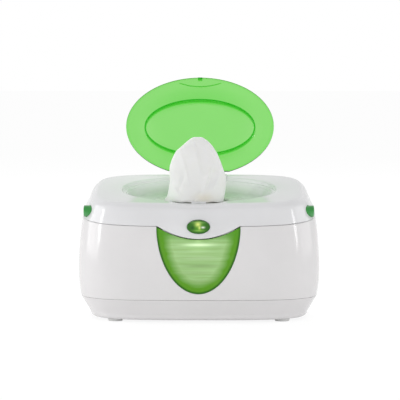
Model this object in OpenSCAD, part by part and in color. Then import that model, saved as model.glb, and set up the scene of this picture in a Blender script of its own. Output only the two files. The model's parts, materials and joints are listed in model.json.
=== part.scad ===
// Baby wipe warmer: a heated tub of wipes in a rounded casing, with a main lid to refill it,
// a clear flip lid over the dispensing recess, a front release button and two side buttons.
// Millimetres, +Z up, front towards -Y, origin under the middle of the bounding box.

/* [Casing] */
// Width of the casing across its widest level
body_w = 268; // [250:1:290]
// Depth of the casing across its widest level
body_d = 172; // [162:1:186]
// Height of the base pan, from the feet's top to the base seam
pan_h = 23.5; // [21:0.5:28]
// Height of the outer shell at its front, from base seam to lid seam
shell_h = 80.5; // [76:0.5:90]
// Height of the main lid at its middle
lid_h = 25.5; // [24:0.5:30]
// Slope of the lid seam, falling to the front
seam_slope = 7; // [4:0.5:8]
// Slope of the lid top, falling to the front
top_slope = 8.5; // [6:0.5:9]
// Wall thickness of the casing
wall = 2.6; // [2.2:0.1:3]
// Open gap at each seam
seam_gap = 0.4; // [0.3:0.1:0.8]
// Radius of the base pan's lower edge
pan_round = 5; // [4:0.5:7]
// Radius of the lid's upper edge
lid_round = 5; // [3:0.5:6]

/* [Feet] */
// Height of a rubber foot
foot_h = 3; // [2:0.5:5]
// Radius of a rubber foot
foot_r = 8.6; // [6:0.2:10]
// Distance of the feet from the middle, sideways
foot_x = 92; // [84:1:94]
// Distance of the feet from the middle, front to back
foot_y = 48; // [40:1:50]

/* [Front] */
// Height of the view window below the lid seam
window_h = 73.6; // [64:0.4:76]
// Thickness of the view window
window_t = 2.4; // [2:0.1:2.6]
// Width of the flange that holds the window from inside
window_lap = 4; // [3:0.5:5]
// Half width of the lid's front tongue
tongue_half = 45; // [40:1:48]
// Drop of the tongue below the lid seam
tongue_drop = 13.4; // [10:0.2:16]
// How far the tongue bulges forward
tongue_bulge = 4; // [2.5:0.5:6]
// Width of the front button
button_w = 25; // [20:0.5:28]
// Height of the front button
button_h = 15; // [12:0.5:16]
// Travel of the front button
button_travel = 2.5; // [1.5:0.5:3]

/* [Side buttons] */
// Length of a side button, front to back
side_len = 20; // [16:1:24]
// Height of a side button
side_high = 12.6; // [10:0.2:13]
// How far a side button stands out
side_out = 5; // [3:0.5:6]
// Place of the side buttons in front of the middle
side_y = 40; // [34:1:44]
// Travel of a side button
side_travel = 3; // [2:0.5:3.5]

/* [Recess and flip lid] */
// Width of the oval recess
recess_w = 172; // [160:1:178]
// Length of the oval recess down the sloping top
recess_d = 123; // [116:1:126]
// Place of the recess in front of the middle
recess_y = 2; // [0:0.5:4]
// Depth of the recess
recess_h = 14; // [13:0.5:15]
// Depth of the ledge that carries the flip lid
ledge_h = 3.2; // [3:0.1:4]
// Clearance round the flip lid
lid_clear = 1.3; // [0.8:0.1:2]
// Thickness of the flip lid
flip_t = 2.4; // [2:0.1:2.8]
// Crown of the flip lid
flip_crown = 4.5; // [2:0.5:7]
// Height of the ridge under the flip lid
ridge_h = 9.5; // [7:0.5:10]
// Width across the ridge
ridge_w = 127; // [115:1:130]
// Depth across the ridge
ridge_d = 69; // [64:1:74]
// Lean of the open flip lid behind the vertical
flip_lean = 25; // [15:1:35]

/* [Wipes] */
// Length of the dispensing slot
slot_len = 66; // [56:1:70]
// Width of the dispensing slot
slot_wide = 13; // [11:0.5:16]
// Length of the stack of wipes
stack_w = 186; // [170:1:192]
// Depth of the stack of wipes
stack_d = 106; // [96:1:110]
// Number of folded wipes in the stack
stack_layers = 11; // [6:1:12]
// Thickness of one folded wipe
layer_t = 4.6; // [4:0.1:5]
// Height of the pulled-up wipe above the recess floor
wipe_h = 71; // [56:1:80]
// Width of the pulled-up wipe
wipe_w = 64; // [50:1:68]

/* [Tub and heater] */
// Wall thickness of the tub
tub_wall = 1.8; // [1.4:0.1:2.4]
// Room between the casing's widest level and the inside of the tub, at each side
side_room = 23.5; // [22:0.5:27]
// Room between the casing's widest level and the inside of the tub, front and back
end_room = 21; // [19:0.5:25]
// Height of the tub's underside above the pan's inside floor
tub_rise = 30.3; // [28:0.5:32]
// Thickness of the heater plate
plate_t = 2; // [1.5:0.5:3]
// Thickness of the heating film
film_t = 0.6; // [0.4:0.1:1]
// Thickness of the insulation pad
pad_t = 4; // [3:0.5:6]

/* [Fasteners and pins] */
// Radius of a casing screw's shank
screw_r = 1.5; // [1.2:0.1:1.8]
// Radius of a casing screw's head
screw_head_r = 3; // [2.6:0.1:3.3]
// Radius of a small screw's shank
small_screw_r = 1; // [0.8:0.1:1.2]
// Radius of the main hinge pins
hinge_pin_r = 1.75; // [1.5:0.05:2]
// Radius of the flip lid's hinge pin
flip_pin_r = 1.2; // [1:0.05:1.4]
// Running clearance round a pin
pin_play = 0.05; // [0.03:0.01:0.08]
// Gap between pieces that slide past each other
slide_gap = 0.3; // [0.25:0.05:0.5]

/* [Hidden] */
$fn = 40;
eps = 0.01;

seam_tilt = tan(seam_slope);
top_tilt = tan(top_slope);
base_seam_z = foot_h + pan_h;
front_seam_d = body_d / 2 - 4;
seam_z = base_seam_z + shell_h + front_seam_d * seam_tilt;
top_z = seam_z + lid_h;
plan_power = 3.5;
top_power = 4.5;
lid_half_w = body_w / 2 - 4.8;
lid_lean_x = 12.5;
lid_lean_y = 7.5;
front_steps = 8;
side_steps = 9;
front_zone = tongue_half * 8 / 6;

// Height of the seam plane and of the top plane at a depth y
function seam_at(y) = seam_z + seam_tilt * y;
function top_at(y) = top_z + top_tilt * y;
function mix(a, b, f) = a + (b - a) * f;
function grown(half, by) = [half[0] + by, half[1] + by];

// One quarter of a superellipse from (0, b) to (a, 0): even steps in x along the front, then
// even angles round the corner
function plan_y(x, a, b, n) = b * pow(1 - pow(x / a, n), 1 / n);
function plan_r(t, a, b, n) = 1 / pow(pow(cos(t) / a, n) + pow(sin(t) / b, n), 1 / n);
function quarter(a, b, n) =
    let (zone = min(front_zone, 0.75 * a), t0 = atan2(plan_y(zone, a, b, n), zone))
    concat(
        [for (i = [0:front_steps]) let (x = zone * i / front_steps) [x, plan_y(x, a, b, n)]],
        [for (j = [1:side_steps]) let (t = t0 * (1 - j / side_steps), r = plan_r(t, a, b, n))
            [r * cos(t), r * sin(t)]]);
function plan_ring(a, b, n) =
    let (q = quarter(a, b, n), k = len(q) - 1)
    concat(
        [for (i = [k:-1:0]) q[i]],
        [for (i = [1:k]) [-q[i][0], q[i][1]]],
        [for (i = [k - 1:-1:0]) [-q[i][0], -q[i][1]]],
        [for (i = [1:k - 1]) [q[i][0], -q[i][1]]]);
function ring_at(a, b, n, z, tilt, y0 = 0) =
    [for (p = plan_ring(a, b, n)) [p[0], p[1] + y0, z + tilt * (p[1] + y0)]];

// Faces between ring i and ring j of m points each, and a solid through a list of rings
function band(i, j, m) = [for (k = [0:m - 1]) let (n = (k + 1) % m)
    each [[i * m + k, j * m + k, j * m + n], [i * m + k, j * m + n, i * m + n]]];
module loft(rings, loop = false) {
    m = len(rings[0]);
    last = len(rings) - 1;
    sides = [for (i = [0:last - 1]) each band(i, i + 1, m)];
    ends = loop ? band(last, 0, m)
                : [[for (k = [0:m - 1]) k], [for (k = [m - 1:-1:0]) last * m + k]];
    polyhedron(points = [for (r = rings) each r], faces = concat(sides, ends), convexity = 8);
}

// A round bar swept along points, with the section turned from a reference direction
function unit(v) = v / norm(v);
function heading(pts, i) = let (n = len(pts) - 1) unit(pts[min(i + 1, n)] - pts[max(i - 1, 0)]);
function bar_ring(p, t, ref, r, sides) =
    let (u = unit(cross(t, ref)), v = cross(t, u))
    [for (k = [0:sides - 1]) p + r * (cos(360 * k / sides) * u + sin(360 * k / sides) * v)];
module bar(pts, r, ref = [0, 0, 1], sides = 8)
    loft([for (i = [0:len(pts) - 1]) bar_ring(pts[i], heading(pts, i), ref, r, sides)]);

// A push spring along +Z from z = 0, of mean radius r, as one unbroken wire
module coil(r, wire, length, turns) {
    steps = turns * 8;
    pts = [for (i = [0:steps]) [r * cos(45 * i), r * sin(45 * i), mix(wire, length - wire, i / steps)]];
    bar(pts, wire, [0, 0, 1], 6);
}

function oval_points(a, b, m = 48) = [for (i = [0:m - 1]) [a * cos(360 * i / m), b * sin(360 * i / m)]];
module oval_prism(a, b, h) linear_extrude(h) polygon(oval_points(a, b));
module slot_prism(length, wide, h) linear_extrude(h) {
    square([length - wide, wide], center = true);
    for (s = [-1, 1]) translate([s * (length - wide) / 2, 0]) circle(d = wide);
}
module screw(shank_r, length, head_r, head_t) {
    cylinder(r = shank_r, h = length);
    difference() {
        translate([0, 0, -head_t]) cylinder(r = head_r, h = head_t);
        for (turn = [0, 90]) rotate(turn)
            translate([-head_r * 0.6, -0.4, -head_t - eps]) cube([head_r * 1.2, 0.8, head_t * 0.5]);
    }
}

// Frames: the whole part about its bounding box, the seam plane and the top plane
module placed() translate([0, -frame_y, 0]) children();
module on_seam() translate([0, 0, seam_z]) rotate([seam_slope, 0, 0]) children();
module on_top() translate([0, 0, top_z]) rotate([top_slope, 0, 0]) children();
module both_sides() for (s = [0, 1]) mirror([s, 0, 0]) children();

// Casing profile: half width and half depth at a share f of the shell's height
widest = 0.35;
seam_inset = [4.8, 4];
foot_inset = [2.6, 2];
function lean_in(f, k) =
    f > widest ? seam_inset[k] * pow((f - widest) / (1 - widest), 1.8)
               : foot_inset[k] * pow((widest - f) / widest, 2.2);
function shell_ring(f, inset, lift = 0) =
    ring_at(body_w / 2 - lean_in(f, 0) - inset, body_d / 2 - lean_in(f, 1) - inset, plan_power,
            mix(base_seam_z, seam_z, f) + lift, f * seam_tilt);
function shell_front(f) = body_d / 2 - lean_in(f, 1);

// Tub rim shelf
shelf_drop = 4;
shelf_t = 3;
shelf_in = 7;
flange_t = 2;

// Casing screws stand in the corners
boss_r = 4.6;
boss_x = 68;
boss_y = 56;
boss_top = base_seam_z + 6;
pan_top_w = body_w / 2 - foot_inset[0];
pan_top_d = body_d / 2 - foot_inset[1];
web_end = plan_y(boss_x, pan_top_w - wall, pan_top_d - wall, plan_power) + 1.2;
module at_bosses() for (x = [-1, 1], y = [-1, 1]) translate([x * boss_x, y * boss_y, 0]) children();

// Main hinge at the back of the seam
hinge_x = 62;
hinge_r = 5;
knuckle_w = 13;
ear_w = 5;
hinge_y = front_seam_d + hinge_r + 1.5;
hinge_z = seam_at(front_seam_d);
hinge_half = knuckle_w / 2 + slide_gap + ear_w;
module at_hinges() for (s = [-1, 1]) translate([s * hinge_x, hinge_y, hinge_z]) children();
module across(r, length) rotate([0, 90, 0]) cylinder(r = r, h = length, center = true);

// Side latch place
latch_z = seam_at(-side_y) + side_high / 2 + 2.1;
side_face = (lid_half_w - lid_lean_x * (latch_z - seam_at(-side_y)) / lid_h)
            * pow(1 - pow(side_y / (front_seam_d - 2.5), plan_power), 1 / plan_power);
latch_x = side_face - wall - 6.6;
side_flange = 1.6;

// Front view window outline in x and z, with the seam as its top
window_power = 1.95;
window_half = tongue_half + 1;
window_top = seam_at(-front_seam_d);
function window_points(grow) = [for (t = [0:6:180])
    [(window_half + grow) * sign(cos(t)) * pow(abs(cos(t)), 2 / window_power),
     window_top - (window_h + grow) * pow(sin(t), 2 / window_power)]];
module front_prism(grow, top) rotate([90, 0, 0]) linear_extrude(body_d) {
    polygon(concat(window_points(grow), [[-window_half - grow, window_top + top],
                                         [window_half + grow, window_top + top]]));
}
function tongue_at(x) = abs(x) < tongue_half ? tongue_drop * (1 - pow(x / tongue_half, 2)) : 0;

module outer_shell() color("white") difference() {
    union() {
        loft(concat(
            [for (f = [0, 0.1, 0.22, 0.4, 0.6, 0.8, 1]) shell_ring(f, 0)],
            [shell_ring(1, wall), shell_ring(1, wall, -shelf_drop),
             shell_ring(1, shelf_in, -shelf_drop), shell_ring(1, shelf_in, -shelf_drop - shelf_t),
             shell_ring(1, wall + 0.3, -shelf_drop - shelf_t - 3)],
            [for (f = [0.6, 0.3, 0]) shell_ring(f, wall)]), loop = true);
        at_bosses() translate([0, 0, base_seam_z]) cylinder(r = boss_r, h = boss_top - base_seam_z);
        for (x = [-1, 1], y = [0, 1]) mirror([0, y, 0])
            translate([x * boss_x - 1.5, boss_y, base_seam_z])
                cube([3, web_end - boss_y, boss_top - base_seam_z]);
        at_hinges() difference() {
            union() {
                across(hinge_r, 2 * hinge_half);
                translate([-hinge_half, front_seam_d - hinge_y - 1.5, -9])
                    cube([2 * hinge_half, hinge_y - front_seam_d + 1.5, 9]);
                translate([-hinge_half, front_seam_d - hinge_y - 1.5, -12])
                    cube([2 * hinge_half, 5, 4]);
            }
            translate([-knuckle_w / 2 - slide_gap, -hinge_r - 0.6, -hinge_r - 0.6])
                cube([knuckle_w + 2 * slide_gap, 3 * hinge_r, 3 * hinge_r]);
        }
    }
    at_bosses() translate([0, 0, base_seam_z - 1]) cylinder(r = screw_r + 0.02, h = 20);
    at_hinges() across(hinge_pin_r + 0.02, 4 * hinge_half);
    front_prism(0, 20);
    intersection() {
        front_slab(wall, wall + 9);
        front_prism(window_lap + slide_gap, 20);
    }
    latch_slot(6.7);
}
// Opening that a side button's latch arm passes through
module latch_slot(reach) both_sides() translate([latch_x - 1.2, -side_y - 6.5, seam_at(-side_y) - 14])
    cube([reach + 1.2, 13, 20]);

// Base pan profile: half width and half depth where its taper meets the rounded lower edge
pan_taper = [10.5, 10];
function pan_ring(inset, z, share, round_in) =
    ring_at(pan_top_w - pan_taper[0] * share - round_in - inset,
            pan_top_d - pan_taper[1] * share - round_in - inset, plan_power, z, 0);
pan_floor = foot_h + wall;
post_r = 4;
board_at = [46, 26];
board_size = [62, 40, 1.6];
board_z = pan_floor + 5;
inlet_at = [58, 16];
inlet_r = 5.5;
inlet_y = plan_y(inlet_at[0], pan_top_w, pan_top_d, plan_power) - 3;
plate_size = [196, 104];
plate_edge = 7;
plate_hole = [plate_size[0] / 2 - plate_edge, plate_size[1] / 2 - plate_edge];
tub_z = pan_floor + tub_rise;
plate_z = tub_z - 0.3 - plate_t;
module at_plate_holes() for (x = [-1, 1], y = [-1, 1])
    translate([x * plate_hole[0], y * plate_hole[1], 0]) children();
module at_board_holes() for (x = [-1, 1], y = [-1, 1])
    translate([board_at[0] + x * (board_size[0] / 2 - 4), board_at[1] + y * (board_size[1] / 2 - 4), 0])
        children();
module at_feet() for (x = [-1, 1], y = [-1, 1]) translate([x * foot_x, y * foot_y, 0]) children();

module base_pan() color("whitesmoke") difference() {
    union() {
        loft(concat(
            [for (t = [90, 60, 30])
                pan_ring(0, foot_h + pan_round * (1 - sin(t)), 1, pan_round * (1 - cos(t)))],
            [pan_ring(0, foot_h + pan_round, 1, 0), pan_ring(0, base_seam_z - seam_gap, 0, 0),
             pan_ring(wall, base_seam_z - seam_gap, 0, 0),
             pan_ring(wall, pan_floor + pan_round - wall, 1, 0)],
            [for (t = [45, 90])
                pan_ring(wall, pan_floor + (pan_round - wall) * (1 - sin(t)), 1,
                         (pan_round - wall) * (1 - cos(t)))]));
        at_bosses() translate([0, 0, pan_floor - eps])
            cylinder(r = boss_r, h = base_seam_z - seam_gap - pan_floor);
        at_plate_holes() translate([0, 0, pan_floor - eps])
            cylinder(r = post_r, h = plate_z - pan_floor);
        at_board_holes() translate([0, 0, pan_floor - eps]) cylinder(r = 3, h = board_z - pan_floor);
        translate([inlet_at[0], inlet_y, inlet_at[1]]) rotate([90, 0, 0]) cylinder(r = 9.5, h = 12);
    }
    at_bosses() {
        translate([0, 0, foot_h - 1]) cylinder(r = screw_r + 0.2, h = pan_h + 3);
        translate([0, 0, foot_h - 1]) cylinder(r = screw_head_r + 0.3, h = 6);
    }
    at_plate_holes() translate([0, 0, pan_floor + 8])
        cylinder(r = small_screw_r + 0.02, h = tub_rise);
    at_board_holes() translate([0, 0, pan_floor + 1]) cylinder(r = small_screw_r + 0.02, h = 10);
    translate([inlet_at[0], inlet_y, inlet_at[1]]) rotate([90, 0, 0]) {
        translate([0, 0, -1]) cylinder(r = inlet_r + 0.02, h = 20);
        translate([0, 0, -8]) cylinder(r = 7.7, h = 8);
    }
    at_feet() translate([0, 0, foot_h - 1]) cylinder(r = foot_r - 1.6 + 0.05, h = 1 + 1.2);
}

module rubber_feet() color("dimgray") at_feet() {
    cylinder(r1 = foot_r - 0.8, r2 = foot_r, h = foot_h);
    translate([0, 0, foot_h - eps]) cylinder(r = foot_r - 1.6, h = 1.2);
}

module base_screws() color("silver") at_bosses() translate([0, 0, foot_h + 5])
    screw(screw_r, boss_top - foot_h - 6, screw_head_r, 2);

// The tub: rounded box with a sloping rim flange on the shell's shelf
tub_in = [body_w / 2 - side_room, body_d / 2 - end_room];
tub_draft = 4;
tub_power = 5.5;
flange_out = body_w / 2 - seam_inset[0] - wall - slide_gap;
flange_deep = body_d / 2 - seam_inset[1] - wall - slide_gap;
function tub_ring(grow, f, lift = 0) =
    ring_at(tub_in[0] - tub_draft * (1 - f) + grow, tub_in[1] - tub_draft * (1 - f) + grow, tub_power,
            mix(tub_z, seam_z - shelf_drop, f) + lift, f * seam_tilt);
led_x = 11;
led_z = window_top - 11.5;
led_y = -front_seam_d + 6;
module wipe_tub() color("azure") difference() {
    union() {
        loft([tub_ring(tub_wall, 0), tub_ring(tub_wall, 1, eps),
              ring_at(flange_out, flange_deep, plan_power, seam_z - shelf_drop + eps, seam_tilt),
              ring_at(flange_out, flange_deep, plan_power, seam_z - shelf_drop + flange_t, seam_tilt),
              tub_ring(0, 1, flange_t), tub_ring(0, 0, tub_wall)]);
        for (s = [-1, 1]) translate([s * led_x, -tub_in[1] - 0.5, led_z]) rotate([90, 0, 0])
            cylinder(r = 2.2, h = -led_y - tub_in[1] - 1.7);
    }
    latch_slot(12);
    for (s = [-1, 1]) translate([s * led_x, led_y - 4, led_z]) rotate([-90, 0, 0])
        cylinder(r = small_screw_r + 0.02, h = 11);
    translate([-window_half - window_lap - 1, -body_d / 2, window_top - 30])
        cube([2 * (window_half + window_lap + 1), end_room - tub_wall - 1.5, 40]);
}

// Window: a pane flush in the shell's front and a flange behind the wall
function pane_section(x, y_out, y_in) = let (steps = [0.02, 0.25, 0.5, 0.75, 1.0])
    concat([for (f = steps) front_point(x, f, y_out)],
           [for (i = [len(steps) - 1:-1:0]) front_point(x, steps[i], y_in)]);
function front_point(x, f, inset) =
    let (y = -plan_y(abs(x), body_w / 2 - lean_in(f, 0), shell_front(f), plan_power) + inset)
    [x, y, mix(base_seam_z, seam_z, f) + f * seam_tilt * y];
module front_slab(y_out, y_in)
    loft([for (i = [7:-1:-7]) pane_section(front_zone * i / front_steps, y_out, y_in)]);
module tongue_cut(drop) rotate([90, 0, 0]) linear_extrude(body_d)
    polygon(concat([for (i = [-12:12]) let (x = tongue_half * i / 12)
                        [x, window_top - tongue_at(x) - drop]],
                   [[body_w, window_top - drop], [body_w, top_z], [-body_w, top_z],
                    [-body_w, window_top - drop]]));
module view_window() color([0.45, 0.8, 0.25, 0.6]) difference() {
    union() {
        intersection() {
            front_slab(0, window_t + 0.8);
            front_prism(-0.25, 10);
        }
        intersection() {
            front_slab(wall + 0.1, wall + 1.6);
            front_prism(window_lap, 10);
        }
    }
    tongue_cut(0.8);
}

module heater_plate() color("silver") difference() {
    translate([0, 0, plate_z]) linear_extrude(plate_t) rounded(plate_size, 10);
    at_plate_holes() translate([0, 0, plate_z - 1]) cylinder(r = small_screw_r + 0.3, h = plate_t + 2);
    at_plate_holes() translate([0, 0, plate_z + plate_t - 1]) cylinder(r = 2.4, h = 2);
}
module rounded(size, r) {
    square([size[0] - 2 * r, size[1]], center = true);
    square([size[0], size[1] - 2 * r], center = true);
    for (x = [-1, 1], y = [-1, 1])
        translate([x * (size[0] / 2 - r), y * (size[1] / 2 - r)]) circle(r = r);
}
film_size = [plate_size[0] - 4 * plate_edge, plate_size[1] - 20];
film_z = plate_z - film_t;
pad_z = film_z - pad_t;
module heater_film() color("darkorange") {
    translate([0, 0, film_z]) linear_extrude(film_t) rounded(film_size, 4);
}
sensor_x = 34;
module insulation_pad() color("lightgray") difference() {
    translate([0, 0, pad_z]) linear_extrude(pad_t) rounded(film_size, 6);
    translate([sensor_x, 0, pad_z - 1]) cylinder(r = 9.5, h = pad_t + 2);
    translate([-sensor_x - 10, -4, pad_z - 1]) cube([20, 8, pad_t + 2]);
    for (s = [-1, 1]) translate([s * 8 - 2, film_size[1] / 2 - 12, pad_z - 1]) cube([4, 13, pad_t + 2]);
}
module plate_screws() color("gray") at_plate_holes() translate([0, 0, plate_z + plate_t - 1])
    mirror([0, 0, 1]) screw(small_screw_r, 12 * small_screw_r, 2.1 * small_screw_r, small_screw_r);
module thermostat() color("tan") translate([sensor_x, 0, 0]) {
    translate([0, 0, film_z - 2]) cylinder(r = 8, h = 2);
    translate([0, 0, film_z - 9]) cylinder(r = 6.5, h = 7 + eps);
    for (s = [-1, 1]) translate([s * 3 - 0.4, -2, film_z - 14]) cube([0.8, 4, 5 + eps]);
}
module thermal_fuse() color("slategray") translate([-sensor_x, 0, film_z - 2.1]) {
    across(2.1, 13);
    across(0.6, 19);
}

module control_board() {
    color("darkgreen") difference() {
        translate([board_at[0], board_at[1], board_z]) linear_extrude(board_size[2])
            square([board_size[0], board_size[1]], center = true);
        at_board_holes() translate([0, 0, board_z - 1]) cylinder(r = small_screw_r + 0.3, h = 4);
    }
    top = board_z + board_size[2];
    color("black") {
        translate([board_at[0] - 22, board_at[1] - 12, top]) cube([14, 6, 6]);
        translate([board_at[0] + 12, board_at[1] + 4, top]) cube([9, 7, 7]);
        translate([board_at[0] - 4, board_at[1] - 6, top]) cube([9, 9, 1.6]);
        translate([board_at[0] - 20, board_at[1] + 6, top]) cube([7, 6, 6]);
        translate([board_at[0] + 8, board_at[1] - 9, top]) cylinder(r = 4, h = 9);
    }
}
module board_screws() color("gray") at_board_holes() translate([0, 0, board_z + board_size[2]])
    mirror([0, 0, 1]) screw(small_screw_r, 5 * small_screw_r, 2 * small_screw_r, 1.2 * small_screw_r);

// Power inlet: flanged barrel through the pan's rear boss, with a socket for a round plug
module dc_inlet() color("black") translate([inlet_at[0], inlet_y, inlet_at[1]]) rotate([90, 0, 0]) {
    difference() {
        union() {
            translate([0, 0, -1.8]) cylinder(r = 7.4, h = 1.8);
            cylinder(r = inlet_r, h = 20);
        }
        translate([0, 0, -2]) cylinder(r = 2.85, h = 12);
    }
    translate([0, 0, 1]) cylinder(r = 1, h = 12);
    for (s = [-1, 1]) translate([s * 2.5 - 0.4, -1.2, 20 - eps]) cube([0.8, 2.4, 4]);
}
module inlet_nut() color("silver") translate([inlet_at[0], inlet_y - 12, inlet_at[1]]) rotate([90, 0, 0])
    difference() {
        cylinder(r = 8, h = 2.5, $fn = 6);
        translate([0, 0, -1]) cylinder(r = inlet_r + 0.02, h = 5);
    }

wire_r = 0.9;
module inlet_wires() color("red") for (s = [-1, 1]) {
    start = [inlet_at[0], inlet_y - 24.3, inlet_at[1]];
    goal = [board_at[0] - 16.5, board_at[1] + 12.4, board_z + board_size[2] + 3];
    bar([start + s * [2.5, 0, 0], start + [0, -2, 0] + s * [2.5, 0, 0],
         start + [-1, -6, 1] + s * [2, -0.6, 0], start + [-8, -11, 2] + s * [1.3, -1.3, 0],
         goal + [10, 6, 2] + s * [0, -1.6, 0], goal + [1.8, 4.6, 1] + s * [1.2, -1.2, 0],
         goal + [0, 2, 0] + s * [1.6, 0, 0], goal + s * [1.6, 0, 0]], wire_r);
}
module heater_wires() color("orange") for (s = [-1, 1]) {
    start = [s * 8, film_size[1] / 2 - 8, film_z - wire_r - 0.1];
    goal = [board_at[0] - 15 + s * 3.5, board_at[1] - 5.6, board_z + board_size[2] + 4];
    bar([start, start + [0, 4, 0], [s * 8 + 1, film_size[1] / 2 + 2, film_z - 1.5],
         [s * 6 + 5, film_size[1] / 2 + 5, pad_z - 2], [s * 4 + 10, film_size[1] / 2 - 1, pad_z - 5],
         [goal[0] - 5 + s, goal[1] + 8, pad_z - 6], [goal[0], goal[1] + 5, goal[2]],
         [goal[0], goal[1] + 2, goal[2]], goal], wire_r, [1, 0, 0.3]);
}

module led_board() {
    color("darkgreen") difference() {
        translate([-16, led_y, led_z - 2.6]) cube([32, 1.2, 5.2]);
        for (s = [-1, 1]) translate([s * led_x, led_y - 1, led_z]) rotate([-90, 0, 0])
            cylinder(r = small_screw_r + 0.2, h = 4);
    }
    color("lightyellow") for (x = [-4, 4]) translate([x, led_y - 1.4, led_z - 0.6]) {
        rotate([-90, 0, 0]) cylinder(r = 1.5, h = 1.4);
        sphere(r = 1.5);
    }
}
module led_screws() color("gray") for (s = [-1, 1]) translate([s * led_x, led_y, led_z])
    rotate([-90, 0, 0]) screw(small_screw_r, 7 * small_screw_r, 1.9 * small_screw_r, small_screw_r);
module led_wires() color("red") for (s = [-1, 1]) {
    side = -tub_in[1] - tub_wall - 2.4;
    bar([[18 + s * 1.4, led_y + 0.6, led_z - 4], [19 + s * 1.4, led_y + 2, led_z - 12],
         [21 + s * 1.4, side, led_z - 26], [22 + s * 1.4, side + 1, tub_z + 14],
         [22 + s * 1.4, side + 4, pad_z - 3], [24 + s * 1.4, side + 14, board_z + 14],
         [26 + s * 1.4, side + 40, board_z + 9], [28 + s * 1.4, 4, board_z + 6],
         [board_at[0] - 24 + s * 1.4, board_at[1] - 21, board_z + 0.9]], 0.7, [1, 0, 0]);
}

module hinge_pins() color("silver") at_hinges() across(hinge_pin_r, 2 * hinge_half + 2);

// Stack of folded wipes: rounded fold edges on the front and back of every layer
function fold_side(s) = [for (i = [0:stack_layers - 1], t = [-90, -30, 30, 90])
    [s * (stack_d / 2 - layer_t / 2 + layer_t / 2 * cos(t)), (i + 0.5 + 0.5 * sin(t) * 0.96) * layer_t]];
module wipe_stack() color("ivory")
    translate([-stack_w / 2, 0, tub_z + tub_wall + 0.2]) rotate([90, 0, 90]) linear_extrude(stack_w) {
        right = fold_side(1);
        left = fold_side(-1);
        polygon(concat(right, [for (i = [len(left) - 1:-1:0]) left[i]]));
    }

// Main lid
recess_half = [recess_w / 2, recess_d / 2 * cos(top_slope)];
cup_half = [recess_half[0] - 5, recess_half[1] - 5];
floor_half = [recess_half[0] - 10, recess_half[1] - 10];
insert_half = [46, 25];
// Share of the front scoop and of the bulge at x
function scoop_at(x) = abs(x) < tongue_half ? pow(cos(90 * x / tongue_half), 2) : 0;
function bulge(p, reach, dip) = let (share = p[1] > 0 ? 0 : scoop_at(p[0]))
    [p[0], p[1] - reach * share, p[2] - dip * share];
function lid_ring(f, inset, round_in = 0, lift = 0, reach = 0, dip = 0) =
    [for (p = ring_at(lid_half_w - lid_lean_x * f - round_in - inset,
                      front_seam_d - lid_lean_y * f - round_in - inset,
                      mix(plan_power, top_power, f), 0, 0))
        let (q = bulge([p[0], p[1], 0], reach, dip))
        [q[0], q[1], mix(seam_at(p[1]), top_at(p[1]), f) + q[2] + lift]];
function lip_ring(inset) = [for (p = lid_ring(0, inset, 0, seam_gap, tongue_bulge))
    let (drop = p[1] < 0 ? tongue_at(p[0]) : 0) [p[0], p[1] - drop * 0.02, p[2] - drop]];
function bowl_ring(half, depth, reach = 0, dip = 0) =
    [for (p = ring_at(half[0], half[1], 2, top_z - depth, top_tilt, -recess_y))
        p[1] > 0 ? p : [p[0], p[1] - reach * scoop_at(p[0]),
                        p[2] - (dip + reach * top_tilt) * scoop_at(p[0])]];
lid_wall = 2.4;
straight = 1 - lid_round / lid_h;
module lid_cover() color("white") difference() {
    union() {
        loft(concat(
            [lip_ring(0), lid_ring(0.12, 0, 0, 0, tongue_bulge),
             lid_ring(0.45, 0, 0, 0, tongue_bulge * 0.8),
             lid_ring(straight, 0, 0, 0, tongue_bulge * 0.6, 1)],
            [for (t = [30, 60, 90]) lid_ring(1, 0, lid_round * (1 - cos(t)), -lid_round * (1 - sin(t)),
                                             tongue_bulge * 0.5, 2)],
            [bowl_ring(recess_half, 0, 7, 2.2), bowl_ring(grown(recess_half, -0.4), ledge_h, 2, 1),
             bowl_ring(cup_half, ledge_h), bowl_ring(floor_half, recess_h),
             bowl_ring(insert_half, recess_h), bowl_ring(insert_half, recess_h + lid_wall),
             bowl_ring(grown(floor_half, 1.5), recess_h + lid_wall),
             bowl_ring(grown(cup_half, 2), ledge_h + lid_wall),
             bowl_ring(grown(recess_half, 2), ledge_h + lid_wall, 0, 1),
             bowl_ring(grown(recess_half, 2.2), lid_wall, 2.6, 2.6)],
            [lid_ring(1, lid_wall, lid_round * 0.9, -lid_wall, tongue_bulge * 0.5, 2.6),
             lid_ring(straight, lid_wall, 0, -1, tongue_bulge * 0.6, 1.4),
             lid_ring(0.45, lid_wall, 0, 0, tongue_bulge * 0.8),
             lid_ring(0.12, lid_wall, 0, 0, tongue_bulge),
             lip_ring(lid_wall)]), loop = true);
        hinge_block();
        at_hinges() {
            across(hinge_r, knuckle_w);
            translate([-knuckle_w / 2, front_seam_d - hinge_y - 2.6, seam_gap])
                cube([knuckle_w, hinge_y - front_seam_d + 2.6, hinge_r - seam_gap]);
        }
        on_seam() at_liner_screws() translate([0, 0, liner_top])
            cylinder(r = 3.4, h = lid_h - liner_top - 1.2 + $liner_y * (top_tilt - seam_tilt));
        at_bracket_screws() rotate([90, 0, 0]) cylinder(r = 2.8, h = 7.5);
        catch_wall();
    }
    at_hinges() across(hinge_pin_r + pin_play, 2 * knuckle_w);
    hinge_pocket();
    front_button_prism(slide_gap, 30);
    both_sides() side_prism(slide_gap, 13.5);
    catch_slot();
    on_seam() at_liner_screws() translate([0, 0, liner_top - 1])
        cylinder(r = small_screw_r + 0.02, h = 7);
    at_bracket_screws() rotate([90, 0, 0]) translate([0, 0, -1])
        cylinder(r = small_screw_r + 0.02, h = 6);
}

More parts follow.
